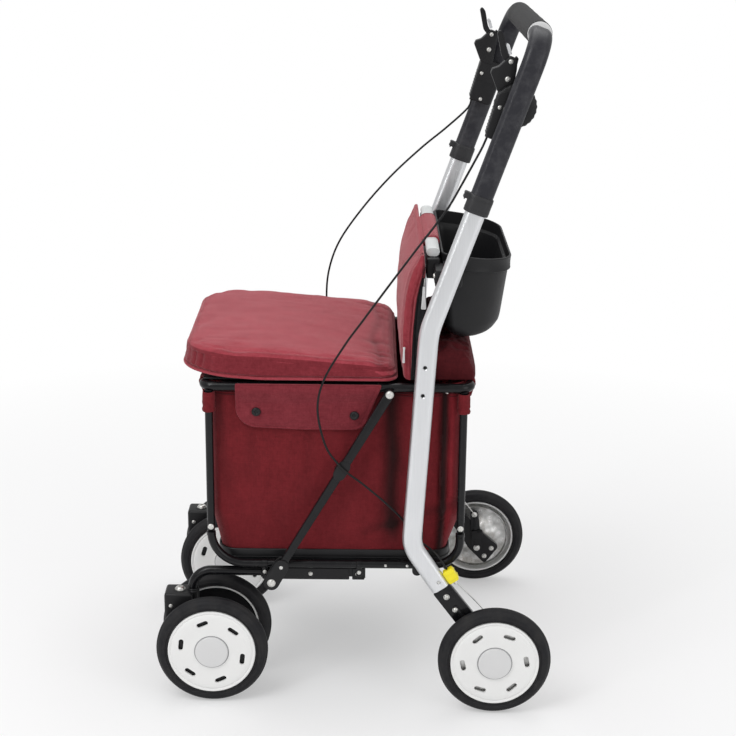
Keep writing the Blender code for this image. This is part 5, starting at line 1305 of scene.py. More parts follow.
def make_strut(side_name, side):
    """A flat brace with a moulded shoe at its foot and the clip that holds the brake cable."""
    along = (STRUT_FOOT - STRUT_TOP).normalized()
    normal = Vector((along.y, -along.x))
    sleeve = STRUT_FOOT - along * 0.028
    middle = STRUT_TOP + along * 0.1267

    def outline(centre, spots, radius):
        return outline_of([centre + along * u + normal * v for u, v in spots], radius)

    wrap = outline(sleeve, ((-0.004, -0.0078), (0.01, -0.0086), (0.01, 0.0086), (-0.004, 0.0078)), 0.002)
    clip = capsule(middle - along * 0.0065, 0.0085, middle + along * 0.0065, 0.0084, 14)
    ear = ((-0.005, -0.0008), (0.005, -0.0008), (0.005, 0.001), (-0.005, 0.001))
    bar = capsule(STRUT_TOP, 0.0065, STRUT_FOOT, 0.005)
    shape = Shape().add(plate(bar, side * 0.1765, side * STRUT_OUTER, 0.0015, 4))
    for low, high in ((0.1745, 0.1766), (0.1864, 0.1885)):
        shape.add(plate(capsule(STRUT_FOOT, 0.011, sleeve, 0.01), side * low, side * high, 0.0008, 3), 1)
    shape.add(plate(wrap, side * 0.175, side * 0.1882, 0.0012, 3), 1)
    shape.add(plate(clip, side * 0.1825, side * (STRUT_OUTER + CLIP_PROUD), 0.0003), 1)
    for v in (-0.0079, 0.0079):
        ring = outline(middle + normal * v, ear, 0.0004)
        shape.add(plate(ring, side * 0.1757, side * 0.185, 0.0004), 1)
    shape.add(across(*STRUT_FOOT, side * 0.1613, side * 0.177, 0.003, 0.0003, 16), 2)
    shape.bolt(side, STRUT_FOOT.x, 0.1884, STRUT_FOOT.y, 0.0058, 0.0022, number=2)
    spot = sleeve + along * 0.001
    shape.bolt(side, spot.x, 0.1884, spot.y, 0.0026, 0.0012, number=2)
    shape.bolt(side, STRUT_TOP.x, STRUT_OUTER, STRUT_TOP.y, 0.0055, 0.0022, number=2)
    name = f"strut_{side_name}"
    shape.put(f"{name}_brace", "paint black bolt", "struts", "black_paint", name, sharp=38)


# Base: front tubes, side rails, tray and casters

TUBE_LINE_Z = 0.1795
CASTER_X, CASTER_TUBE_X = -0.245, -0.2265
TRAY_LOOPS = (
    (0.1888, -0.184, 0.129, 0.154, 0.024),
    (0.1948, -0.19, 0.135, 0.158, 0.028),
    (0.2153, -0.19, 0.135, 0.158, 0.028),
)


def rounded_loop(level, per_corner, per_side, ahead=None):
    """Points round a rectangle with round corners. level is its height, front, rear, half width and
    corner radius, and ahead another radius for its front corners."""
    z, front, rear, half, corner = level
    ahead = corner if ahead is None else ahead
    points = []
    for x, y, start, radius in (
        (rear - corner, half - corner, 0, corner), (front + ahead, half - ahead, 90, ahead),
        (front + ahead, ahead - half, 180, ahead), (rear - corner, corner - half, 270, corner),
    ):
        spots = arc((x, y), radius, math.radians(start), math.radians(start + 90), per_corner)
        points += [Vector((*spot, z)) for spot in spots]
    fine = []
    for index, point in enumerate(points):
        fine.append(point)
        if index % (per_corner + 1) == per_corner:
            after = points[(index + 1) % len(points)]
            fine += [point.lerp(after, k / per_side) for k in range(1, per_side)]
    return fine


def between(low, high, share):
    return tuple(a + (b - a) * share for a, b in zip(low, high))


def level_at(levels, z):
    """The level at a height, straight between the given ones."""
    for low, high in zip(levels, levels[1:]):
        if z <= high[0] + 1e-9:
            return between(low, high, max(0.0, (z - low[0]) / (high[0] - low[0])))
    return levels[-1]


def inset(level, amount, lift=0.0):
    z, front, rear, half, corner = level
    return z + lift, front + amount, rear - amount, half - amount, max(0.001, corner - amount)


def make_tray():
    bottom, knee, rim = TRAY_LOOPS
    levels = [
        inset(bottom, 0.0012), inset(bottom, 0.0, 0.0008), (0.1915, -0.1874, 0.1324, 0.1563, 0.0264),
        knee, (0.2085, *rim[1:]), (0.21, *rim[1:]), inset(rim, 0.0, -0.0008), inset(rim, 0.0007),
        inset(rim, 0.0023), inset(rim, 0.003, -0.0008), inset(knee, 0.003, 0.0006),
        inset(bottom, 0.0034, 0.0032), inset(bottom, 0.01, 0.003),
    ]
    shape = Shape().add(loft([rounded_loop(level, 10, 6) for level in levels]))
    bead = rounded_loop(inset((0.204, *rim[1:]), -0.0004), 10, 6)
    shape.add(sweep(bead, round_section(0.0007, 8), closed=True))
    shape.put("tray_pan", "black", "base", "black_plastic", "tray")


def make_side_rail(side_name, side):
    collar = [(0.0069, 0.0), (0.0085, 0.0), (0.0088, -0.0006), (0.0088, -0.002), (0.0069, -0.0024)]
    y = side * CASTER_Y
    shape = Shape()
    for x_from, x_to, low, high, half, bevel, segments, number in (
        (-0.128, -0.0056, 0.1705, 0.1885, 0.009, 0.0015, 3, 0),
        (-0.006, -0.0012, 0.1755, 0.1885, 0.009, 0.0006, 2, 0),
        (-0.0016, 0.0157, 0.1705, 0.1885, 0.009, 0.0015, 3, 0),
        (0.015, 0.0169, 0.1723, 0.1867, 0.0072, 0.0007, 2, 2),
    ):
        shape.add(block((x_from, y - half, low), (x_to, y + half, high), bevel, segments), number)
    shape.add(turned(collar, (-0.128, y, TUBE_LINE_Z), (1, 0, 0), 28))
    for x in (-0.115, -0.06, 0.006):
        shape.bolt(side, x, CASTER_Y + 0.009, TUBE_LINE_Z, 0.003, 0.0018)
    name = f"side_rail_{side_name}"
    shape.put(f"{name}_square", "paint bolt black", "base", "black_paint", name, sharp=38)


def make_front_tube(side_name, side):
    y = side * CASTER_Y
    corners = ((CASTER_TUBE_X, y, 0.1323), (CASTER_TUBE_X, y, TUBE_LINE_Z), (-0.1173, y, TUBE_LINE_Z))
    path = subdivided(rounded_path(corners, (0.026,), math.radians(6)), 0.03)
    shape = Shape().add(sweep(path, round_section(0.00675, 28), (0, 1, 0)))
    name = f"front_tube_{side_name}"
    shape.put(f"{name}_bend", "paint", "base", "black_paint", name, sharp=45)


def make_caster_head(side_name, side):
    y = side * CASTER_Y
    head = Shape().add(block((-0.266, y - 0.018, 0.108), (CASTER_TUBE_X, y + 0.018, 0.15), 0.004, 5))
    boss = [(0.0069, 0.0), (0.008, 0.0), (0.009, -0.001), (0.009, -0.026), (0.0069, -0.026)]
    collar = [(0.0068, 0.0028), (0.0074, 0.0028), (0.008, 0.002), (0.008, 0.0), (0.0068, 0.0)]
    recess = [(0.0052, 0.0), (0.0105, 0.0), (0.0108, 0.0003), (0.0104, 0.0006), (0.0058, 0.0005)]
    skirt = [(0.017, 0.0), (0.0176, 0.0006), (0.0176, 0.0024), (0.016, 0.003), (0.006, 0.003)]
    skirt.append((0.006, 0.0))
    for profile, x, z, steps in (
        (boss, CASTER_TUBE_X, 0.1502, 36), (collar, CASTER_TUBE_X, 0.15, 36),
        (recess, CASTER_X, 0.1499, 40), (skirt, CASTER_X, 0.1078, 40),
    ):
        head.add(turned(profile, (x, y, z), UP, steps))
    for x in (-0.2565, -0.235):
        for cheek in (-1, 1):
            head.add(bolt_head((x, y + cheek * 0.018, 0.132), (0, cheek, 0), 0.003, 0.0012), 1)
    name = f"caster_head_{side_name}"
    head.put(f"{name}_block", "black bolt", "base", "black_plastic", name)


def make_caster_fork(side_name, side):
    y = side * CASTER_Y
    round_axle = arc((-WHEEL_X, TYRE_RADIUS), 0.0135, math.radians(50), math.radians(-110), 16)
    arm = [(-0.26, 0.101), (-0.225, 0.101), *round_axle, (-0.253, 0.085)]
    fork = Shape().add(plate(arm, y - 0.015, y + 0.015, 0.002, 4))
    disc = [
        (0.0, 0.1), (0.0182, 0.1), (0.019, 0.1008), (0.019, 0.1052), (0.018, 0.107),
        (0.012, 0.1075), (0.0, 0.1075),
    ]
    fork.add(turned(disc, (CASTER_X, y, 0), UP, 48))
    stem = [(0.0, 0.105), (0.005, 0.105), (0.005, 0.1512), (0.0, 0.1512)]
    fork.add(turned(stem, (CASTER_X, y, 0), UP, 24), 1)
    fork.add(bolt_head((CASTER_X, y, 0.1505), UP, 0.0075, 0.004), 1)
    fork.add(across(-WHEEL_X, TYRE_RADIUS, y - 0.0302, y + 0.0302, 0.0103))
    fork.add(across(-WHEEL_X, TYRE_RADIUS, y - 0.0345, y + 0.0345, 0.0045, 0.0003), 1)
    rib = outline_of(
        ((-0.248, 0.096), (-0.229, 0.096), (-0.211, 0.079), (-0.244, 0.089)),
        (0.002, 0.003, 0.003, 0.003),
    )
    for cheek in (-1, 1):
        fork.add(plate(rib, y + cheek * 0.0146, y + cheek * 0.016, 0.0005))
    name = f"caster_fork_{side_name}"
    fork.put(f"{name}_arm", "black bolt", f"caster_{side_name}", "black_plastic", name)


# Basket

BASKET_FRONT, BASKET_BACK, BASKET_HALF = 0.1144, 0.2118, 0.1465
BASKET_FLOOR, BASKET_RIM, BASKET_FALL = 0.5165, 0.639, 0.0135
BASKET_WALL = 0.0025
BASKET_AHEAD = 0.014
BASKET_LOOPS = tuple(
    (BASKET_FLOOR + up, BASKET_FRONT + front, BASKET_BACK - rear, BASKET_HALF - side, corner)
    for up, front, rear, side, corner in (
        (0.0, 0.0225, 0.0438, 0.0285, 0.016),
        (0.005, 0.016, 0.0278, 0.0205, 0.036),
        (0.0145, 0.0088, 0.0163, 0.0155, 0.054),
        (0.03, 0.0055, 0.0113, 0.0125, 0.06),
        (0.1005, 0.001, 0.0035, 0.0035, 0.062),
        (0.1015, 0.0, 0.0005, 0.0005, 0.064),
        (0.1225, 0.0, 0.0, 0.0, 0.064),
    )
)


def curved_level(levels, place):
    """A level on a smooth curve through the given ones: place counts them from 0."""
    last = len(levels) - 1
    first = min(int(place), last - 1)
    near = [levels[max(0, min(last, first + step))] for step in (-1, 0, 1, 2)]
    return tuple(curve_point(*values, place - first) for values in zip(*near))


def basket_ring(level, amount, lift):
    """One ring of the tub's skin, moved in by an amount, on the slope of its rim."""
    points = rounded_loop(inset(level, amount, lift), 14, 8, max(0.002, BASKET_AHEAD - amount))
    floor = BASKET_FLOOR + BASKET_WALL
    for point in points:
        up = max(0.0, (point.z - floor) / (BASKET_RIM - floor))
        point.z -= BASKET_FALL * up * (point.x - BASKET_FRONT) / (BASKET_BACK - BASKET_FRONT)
    return points


def make_basket():
    """A moulded tub with a deep lip, thin beads at the lip's edges, and ears on the clamps."""
    body = [curved_level(BASKET_LOOPS[:5], place / 5) for place in range(1, 16)]
    body += [between(*BASKET_LOOPS[3:5], share / 8) for share in range(1, 9)]
    bottom, top, step, rim = (BASKET_LOOPS[index] for index in (0, 4, 5, 6))
    skin = [(bottom, 0.005, 0.0), (bottom, 0.0006, 0.0002), *((level, 0.0, 0.0) for level in body)]
    edge = ((0.0006, -0.0002), (-0.0002, 0.0004), (-0.0003, 0.0012), (0.0, 0.0022), (0.0, 0.01))
    skin += [(step, amount, lift) for amount, lift in edge]
    bead = (
        (0.0, -0.0034), (-0.0003, -0.0024), (-0.0004, -0.0014), (0.0, -0.0004), (0.0008, 0.0),
        (0.0019, 0.0), (0.0025, -0.0008), (0.0026, -0.019),
    )
    skin += [(rim, amount, lift) for amount, lift in bead]
    skin.append((top, BASKET_WALL, -0.001))
    skin += [(level, BASKET_WALL, 0.0012) for level in reversed(body[3:-1])]
    skin += [(bottom, 0.0016, 0.0034), (bottom, 0.006, BASKET_WALL)]
    shape = Shape().add(loft([basket_ring(*place) for place in skin]))
    for side in SIDES.values():
        shape.add(side_block(side, (0.116, 0.144, 0.6266), (0.138, 0.1645, 0.6287), 0.0009))
        gusset = ((side * 0.1455, 0.6195), (side * 0.1455, 0.6268), (side * 0.157, 0.6268))
        for x in (0.119, 0.127, 0.135):
            shape.add(loft([[(x + half, y, z) for y, z in gusset] for half in (-0.0008, 0.0008)]))
    shape.put("basket_tub", "tub", "basket", "black_plastic", "basket", sharp=32)


# Soft pieces

CUSHION_FRONT, CUSHION_REAR, CUSHION_HALF = -0.2355, 0.0565, 0.171
CUSHION_TOP = ((-0.2355, 0.508), (-0.127, 0.5025), (-0.039, 0.4955), (0.021, 0.4905), (0.0565, 0.486))
CUSHION_LOW = ((-0.2355, 0.4745), (-0.205, 0.4735), (-0.13, 0.4676), (0.0565, 0.4676))
BACK_LOW, BACK_TOP, BACK_HALF = 0.4675, 0.641, 0.169
BACK_FRONT = ((0.4675, 0.066), (0.53, 0.065), (0.583, 0.0688), (0.608, 0.0738), (0.641, 0.084))
BACK_REAR = (
    (0.4675, 0.0931), (0.51, 0.095), (0.537, 0.1), (0.569, 0.095), (0.6, 0.0929), (0.641, 0.0918),
)
BACK_LINING = (
    (0.4675, 0.075), (0.54, 0.0775), (0.585, 0.082), (0.612, 0.088), (0.618, 0.2), (0.641, 0.2),
)
BAG_TOP = 0.4622
BAG_LOOPS = (
    (0.1921, -0.1805, 0.1255, 0.1495, 0.022),
    (0.2163, -0.1865, 0.1315, 0.1545, 0.0245),
    (0.2753, -0.1975, 0.15, 0.16, 0.022),
    (BAG_TOP, -0.1975, 0.15, 0.16, 0.022),
)
CLOTH_FRAMES = 20


def line_at(stations, x):
    """The value at x on the straight runs between (x, value) stations."""
    for (x0, z0), (x1, z1) in zip(stations, stations[1:]):
        if x <= x1 or (x1, z1) == stations[-1]:
            return z0 + (z1 - z0) * (x - x0) / (x1 - x0)


def curve_at(stations, x):
    """The same line with its corners eased."""
    steps = ((-0.012, 0.25), (0.0, 0.5), (0.012, 0.25))
    return sum(line_at(stations, x + step) * share for step, share in steps)


def eased(low, high, value):
    """0 below low, 1 above high, and smooth between them."""
    t = max(0.0, min(1.0, (value - low) / (high - low)))
    return t * t * (3 - 2 * t)


def wave(point, scale, seed=0.0):
    """Smooth noise from about -1 to 1."""
    return noise.noise(Vector(point) * scale + Vector((seed, seed * 1.7, -seed)))


def crease(distance, width):
    """A soft valley: 1 on the line, 0 away from it."""
    return math.exp(-((distance / width) ** 2))


def near_edge(t):
    """Moves even steps from -1 to 1 closer to both ends."""
    return math.copysign(1 - (1 - abs(t)) ** 1.7, t)


def edge_drop(radius, inward):
    """How far a rounded edge lies below its face, that far in from the side."""
    return radius - math.sqrt(max(0.0, radius**2 - (radius - min(inward, radius)) ** 2))


def paint_fold_shade(piece, fold_shade_at):
    """Stores how deep in a fold each point lies, for the painted shade in the cloth's colour."""
    layer = piece.data.attributes.new("fold", "FLOAT", "POINT")
    for vert, item in zip(piece.data.vertices, layer.data):
        item.value = max(0.0, min(1.0, fold_shade_at(vert.co)))


def second_look(piece, chosen):
    """Gives the chosen faces the piece's second material."""
    for face in piece.data.polygons:
        if chosen(face, *face.center):
            face.material_index = 1


def pillow(cuts, shape):
    """A divided cube whose points a function moves."""

    def build(builder):
        bmesh.ops.create_cube(builder, size=2.0)
        bmesh.ops.subdivide_edges(builder, edges=builder.edges, cuts=cuts, use_grid_fill=True)
        for vert in builder.verts:
            vert.co = shape(*vert.co)

    return from_bmesh(build)


def hang(piece, slot, kept, *replaced):
    """Hangs a soft piece on the seat ring."""
    set_down(piece, "seat_ring", slot, *replaced)
    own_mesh(piece)


def blown_up(piece):
    """The piece's points, remeshed, before and after a short cloth simulation with air inside."""
    rough = linked("cloth_work", piece.data.copy())
    remesh = rough.modifiers.new("remesh", "REMESH")
    remesh.mode = "VOXEL"
    remesh.voxel_size = 0.005
    cloth = linked("cloth_work", evaluated_copy(rough))
    bpy.data.objects.remove(rough)
    before = [v.co.copy() for v in cloth.data.vertices]
    made = cloth.modifiers.new("cloth", "CLOTH")
    made.settings.use_pressure = True
    made.settings.uniform_pressure_force = 4.0
    made.settings.quality = 5
    made.settings.tension_stiffness = 12.0
    made.settings.effector_weights.gravity = 0.0
    made.collision_settings.use_collision = False
    scene = bpy.context.scene
    scene.frame_start = 1
    scene.frame_end = CLOTH_FRAMES
    for number in range(1, CLOTH_FRAMES + 1):
        scene.frame_set(number)
    graph = bpy.context.evaluated_depsgraph_get()
    after = [v.co.copy() for v in cloth.evaluated_get(graph).data.vertices]
    scene.frame_set(1)
    bpy.data.objects.remove(cloth)
    return before, after


def simulated(piece, cap, keep):
    """Moves the piece's points as the simulated cloth moved, by cap at most. keep says how much of
    that a point takes."""
    before, after = blown_up(piece)
    tree = KDTree(len(before))
    for index, point in enumerate(before):
        tree.insert(point, index)
    tree.balance()
    moves = []
    for old, new in zip(before, after):
        move = new - old
        moves.append(move * min(1.0, cap / max(1e-9, move.length)))
    for vert in piece.data.vertices:
        total_move, weight = Vector((0, 0, 0)), 0.0
        for _, index, distance in tree.find_n(vert.co, 6):
            share = 1.0 / (distance + 0.0008)
            total_move += moves[index] * share
            weight += share
        vert.co += total_move / weight * keep(vert.co)


def plan_point(u, v, half_x, half_y, front_corner, rear_corner):
    """A point of the square grid -1..1 on a rectangle with round corners, and the way out from it."""
    radius = front_corner if u < 0 else rear_corner
    x, y = u * half_x, v * half_y
    over_x, over_y = abs(x) - (half_x - radius), abs(y) - (half_y - radius)
    if over_x > 0 and over_y > 0:
        size = math.hypot(over_x, over_y)
        share = 1.0 - max(over_x, over_y) / size
        way = Vector((math.copysign(over_x / size, x), math.copysign(over_y / size, y)))
        return x - math.copysign(over_x * share, x), y - math.copysign(over_y * share, y), way
    if abs(u) * half_x - half_x > abs(v) * half_y - half_y:
        return x, y, Vector((math.copysign(1.0, u), 0.0))
    return x, y, Vector((0.0, math.copysign(1.0, v)))


def rear_wrinkles(x, y):
    """Short wrinkles that run from front to rear."""
    return max(0.0, wave((x * 6.0, y * 26.0, 0), 3.0, 8.0))


def cross_fold(x, y):
    """One fold across the cushion, near its rear."""
    return crease(x - 0.03 - 0.005 * math.sin(y * 35), 0.006)


def make_cushion():
    """A crowned pad with a turned top edge, a sewn band round its side and a lip at the foot."""
    middle_x, half_x = (CUSHION_FRONT + CUSHION_REAR) / 2, (CUSHION_REAR - CUSHION_FRONT) / 2
    radius = 0.0085

    def top_height(x, y, high, inward):
        top = eased(0.0, 0.012, inward)
        z = high - edge_drop(radius, inward) + 0.0012 * wave((x, y, 0), 24.0, 3.0) * top
        z -= 0.005 * eased(-0.03, 0.05, x) * rear_wrinkles(x, y) * top
        z -= 0.0026 * cross_fold(x, y) * top
        z += 0.0009 * wave((x * 2.0, y * 9.0, 0), 14.0, 5.0) * top
        return z - 0.0012 * crease(inward - 0.0105, 0.0022)

    def side_swell(x, y, z, over, share):
        out = 0.002 * math.sqrt(max(0.0, 1 - ((over - 1.7) / 1.8) ** 2)) if over < 3.5 else 0.0
        out -= 0.0016 * crease(over - 4.6, 1.1)
        out += 0.001 * math.sin(math.pi * min(1.0, max(0.0, share - 0.25) / 0.75))
        above = eased(5.5, 9.0, over)
        out += 0.0009 * wave((x * 2.4 + y * 2.4, 0, z), 42.0, 5.0) * above
        gathers = crease(x - (CUSHION_FRONT + 0.03), 0.022) * above
        return out - 0.0022 * gathers * max(0.0, math.sin((abs(y) + x) * 330.0))

    def shape(u, v, w):
        u, v = near_edge(u), near_edge(v)
        x, y, way = plan_point(u, v, half_x, CUSHION_HALF, 0.07, 0.018 + 0.012 * (w + 1) / 2)
        x += middle_x
        high, low = curve_at(CUSHION_TOP, x), curve_at(CUSHION_LOW, x)
        inward = min(half_x * (1 - abs(u)), CUSHION_HALF * (1 - abs(v)))
        out = 0.0
        if w > 0.9999:
            z = top_height(x, y, high, inward) + 0.0055 * (1 - u * u) * (1 - v * v)
        elif w < -0.9999:
            z = low
            out = -0.002 * crease(inward, 0.004)
        else:
            share = (w + 1) / 2
            z = low + (high - radius - low) * share
            out = side_swell(x, y, z, (z - low) * 1000, share)
        return Vector((x + way.x * out, y + way.y * out, z))

    def keep(point):
        seat = line_at(CUSHION_LOW, point.x)
        return 0.75 * eased(seat + 0.006, seat + 0.016, point.z)

    # Painted light and shade: the sewn band's side faces get the darker cloth, the top the lighter one.
    def on_shaded_band(face, x, y, z):
        return abs(face.normal.z) < 0.55 and z > line_at(CUSHION_LOW, x) + 0.0048

    # Painted shade: darker in the rear wrinkles, the cross fold, the line round the top, the band's crease
    # and its foot.
    def fold_shade_at(point):
        x, y, z = point
        if z > curve_at(CUSHION_TOP, x) - 0.004:
            inward = min(half_x - abs(x - middle_x), CUSHION_HALF - abs(y))
            fold = 0.9 * eased(-0.02, 0.05, x) * rear_wrinkles(x, y)
            return fold + 0.35 * cross_fold(x, y) + 0.25 * crease(inward - 0.0095, 0.0022)
        over = (z - curve_at(CUSHION_LOW, x)) * 1000
        return 0.55 * crease(over - 4.8, 1.3) + 0.5 * eased(1.2, 0.0, over)

    piece = Shape().add(pillow(63, shape)).piece("seat_cushion_cover", "top side", 180)
    simulated(piece, 0.0045, keep)
    second_look(piece, on_shaded_band)
    paint_fold_shade(piece, fold_shade_at)
    set_down(piece, "seat_lid", "red_fabric", "seat_cushion")
    board = Shape().add(block((-0.205, -0.16, 0.4643), (0.052, 0.16, 0.4673), 0.001, 3))
    for x in (-0.165, 0.015):
        for y in (-0.12, 0.12):
            board.add(bolt_head((x, y, 0.4643), (0, 0, -1), 0.005, 0.0022), 1)
    board.put("seat_board_panel", "black bolt", "seat_lid", "black_plastic", "seat_board")


def near_fold(y, z, width):
    """The long fold beside the backrest's near edge."""
    return crease(y + 0.156 - 0.003 * math.sin(z * 45), width)


def make_backrest():
    """A pad that thins to a welt at its top, red in front and lined in black."""
    middle_z, half_z = (BACK_LOW + BACK_TOP) / 2, (BACK_TOP - BACK_LOW) / 2

    def front_face(y, z, v, w, inward):
        top = eased(0.0, 0.014, inward)
        x = 0.002 * near_fold(y, z, 0.003) - 0.0042 * (1 - w * w) * (1 - v * v)
        x += 0.0013 * wave((0, y * 2.2, z), 26.0, 2.0) * top
        for place, depth in ((-0.118, 0.0016), (-0.06, 0.0012), (0.048, 0.0016), (0.112, 0.0012)):
            x += depth * crease(y - place - 0.006 * math.sin(z * 30), 0.004) * (0.3 + 0.7 * w * w) * top
        return x + 0.0012 * crease(inward - 0.0095, 0.002)

    def side_swell(x, z, back):
        swell = 0.0018 * crease(back - 0.0075, 0.003) - 0.0034 * crease(back - 0.0128, 0.0018)
        swell += 0.001 * crease(back - 0.018, 0.0022)
        return swell + 0.0008 * wave((x * 5.0, 0, z * 1.6), 34.0, 4.0)

    def shape(u, v, w):
        v, w = near_edge(v), near_edge(w)
        z, y = middle_z + w * half_z, v * BACK_HALF
        peak = eased(BACK_TOP - 0.02, BACK_TOP, z)
        front = curve_at(BACK_FRONT, z) + 0.002 * peak
        rear = curve_at(BACK_REAR, z) - 0.001 * peak
        inward = min(BACK_HALF * (1 - abs(v)), half_z * (1 - w) * 1.5, half_z * (1 + w))
        thick = rear - front
        near = front + edge_drop(min(0.0075, 0.45 * thick), inward)
        far = rear - edge_drop(min(0.0045, 0.3 * thick), inward)
        if u < -0.9999:
            x = near + front_face(y, z, v, w, inward)
        elif u > 0.9999:
            x = far + 0.0008 * wave((0, y, z), 40.0, 7.0) * eased(0.0, 0.014, inward)
        else:
            x = near + (u + 1) / 2 * (far - near)
            if abs(v) > 0.9999:
                swell = side_swell(x, z, x - front) * eased(0.0, 0.02, half_z * (1 - abs(w)))
                y += math.copysign(swell, v)
        return Vector((x, y, z))

    def keep(point):
        return 0.7 * (1 - eased(0.078, 0.088, point.x)) * (1 - eased(BACK_TOP - 0.03, BACK_TOP, point.z))

    def lined(face, x, y, z):
        return x > line_at(BACK_LINING, z)

    # Painted shade in the long near fold, the crease on the side and the welt.
    def fold_shade_at(point):
        x, y, z = point
        if abs(y) < BACK_HALF - 0.006:
            return 0.6 * near_fold(y, z, 0.0026)
        back = x - curve_at(BACK_FRONT, z)
        welt = 0.45 * crease(back - 0.0052, 0.0012) * eased(0.6, 0.52, z)
        return 0.9 * crease(back - 0.013, 0.0014) + welt

    piece = Shape().add(pillow(55, shape)).piece("backrest_pad_cover", "back lining", 180)
    simulated(piece, 0.004, keep)
    second_look(piece, lined)
    paint_fold_shade(piece, fold_shade_at)
    set_down(piece, "rear_frame", "red_fabric", "backrest_pad")


def make_backrest_trim():
    """The loop that holds the backrest on the cross bar, and its zip."""
    outer, inner = (oval_section(0.018 + 2 * grow, 0.012 + 2 * grow) for grow in (0.0021, 0.0003))
    loop = Shape().add(hollow_bar(outer, inner, -0.0755, 0.0755))
    web = []
    for y in even(-0.0752, 0.0752, 24):
        sag = 0.0004 * wave((0, y, 0), 90.0, 3.0)
        web.append([
            (0.085, y, 0.633 + sag), (0.0962, y, 0.6325 + sag), (0.0945, y, 0.6385),
            (0.0925, y, 0.6425 + sag), (0.0862, y, 0.64 + sag),
        ])
    loop.add(loft(web))
    for y in (-0.0722, 0.0722):
        stitch = [(x + BAR_X, y, z + BAR_Z) for x, z in outer]
        loop.add(sweep(stitch, round_section(0.0004, 6), closed=True), 1)
    loop.put("backrest_loop", "back stitch", "rear_frame", "red_fabric", sharp=50)

    trim = Shape()
    y = -BACK_HALF - 0.0006
    slider = (
        (0.0636, 0.4935), (0.0672, 0.4935), (0.0668, 0.511), (0.0676, 0.5155), (0.064, 0.5155),
        (0.0645, 0.511),
    )
    pull = ((0.0873, 0.568), (0.0942, 0.568), (0.0922, 0.599), (0.0892, 0.599))
    cord = ((0.0903, 0.598), (0.0912, 0.598), (0.092, 0.61), (0.091, 0.61))
    for corners, radii, out, back, bevel, segments in (
        (slider, 0.001, 0.0022, 0.001, 0.0005, 2),
        (pull, (0.0016, 0.0016, 0.0008, 0.0008), 0.0012, 0.0006, 0.0004, 2),
        (cord, 0.0003, 0.0006, 0.0006, 0.0002, 1),
    ):
        trim.add(plate(outline_of(corners, radii), y - out, y + back, bevel, segments))
    trim.put("backrest_zip_pulls", "cap", "rear_frame", "white_plastic", sharp=40)
    teeth = Shape()
    for index in range(52):
        z = 0.474 + index * 0.003
        x = curve_at(BACK_FRONT, z) + 0.0135
        teeth.add(block((x - 0.0007, y - 0.0002, z), (x + 0.0007, y + 0.0016, z + 0.0016), 0.0002, 1))
    teeth.put("backrest_zip_teeth", "black", "rear_frame", "black_plastic", sharp=40)


def bag_sway(z):
    return 0.004 * wave((0, 0, z), 9.0, 2.0)


def slant_fold(x, z, width):
    """The fold that rises to the rear, low on the bag's side."""
    return crease((z - 0.245) - 0.35 * (x - 0.02), width) * eased(-0.01, 0.04, x)


def bag_ring(z, amount, per_corner=12, per_side=84):
    """One ring of the bag's cloth, moved in by an amount: it sags out, with folds beside the posts."""
    _, front, rear, half, corner = level_at(BAG_LOOPS, z)
    level = (z, front + amount, rear - amount, half - amount, max(0.004, corner - amount))
    points = rounded_loop(level, per_corner, per_side)
    rise = (z - 0.205) / (BAG_TOP - 0.205)
    if not 0 < rise < 1:
        return points
    fat = math.sin(math.pi * rise) ** 0.6
    sway = bag_sway(z)
    for p in points:
        x = p.x
        if abs(p.y) > half - corner - amount:
            reach = max(0.0, math.sin(math.pi * (x - front) / (rear - front))) ** 0.5
            bulge = 0.005 * fat * reach
            bulge += 0.0022 * wave((x, 0, z * 0.35), 40.0, 4.0) * fat * reach
            bulge += 0.0012 * wave((x, 0, z * 0.5), 105.0, 9.0) * fat
            bulge -= 0.013 * crease(x - 0.1205 - sway, 0.0048) * fat
            bulge += 0.0026 * crease(x - 0.133 - sway, 0.007) * fat
            bulge -= 0.008 * crease(x - 0.0545 + 2 * sway, 0.011) * fat
            bulge += 0.0024 * crease(x - 0.087, 0.016) * fat
            bulge -= 0.0026 * crease(x + 0.179 + sway, 0.005) * fat * eased(0.26, 0.4, z)
            bulge -= 0.0022 * slant_fold(x, z, 0.008)
            p.y += math.copysign(min(bulge, 0.0105), p.y)
        else:
            push = 0.003 * fat + 0.0022 * wave((0, p.y, z * 0.4), 42.0, 6.0) * fat
            push -= 0.004 * fat * (crease(abs(p.y) - 0.112, 0.007) + 0.6 * crease(p.y - 0.02, 0.01))
            p.x += push * (1 if x > 0 else -1) * 0.7
    return points


def bag_floor(z, ring_z):
    """A ring that closes the bag's floor."""
    return [Vector((p.x * 0.92, p.y * 0.92, z)) for p in bag_ring(ring_z, 0.012)]


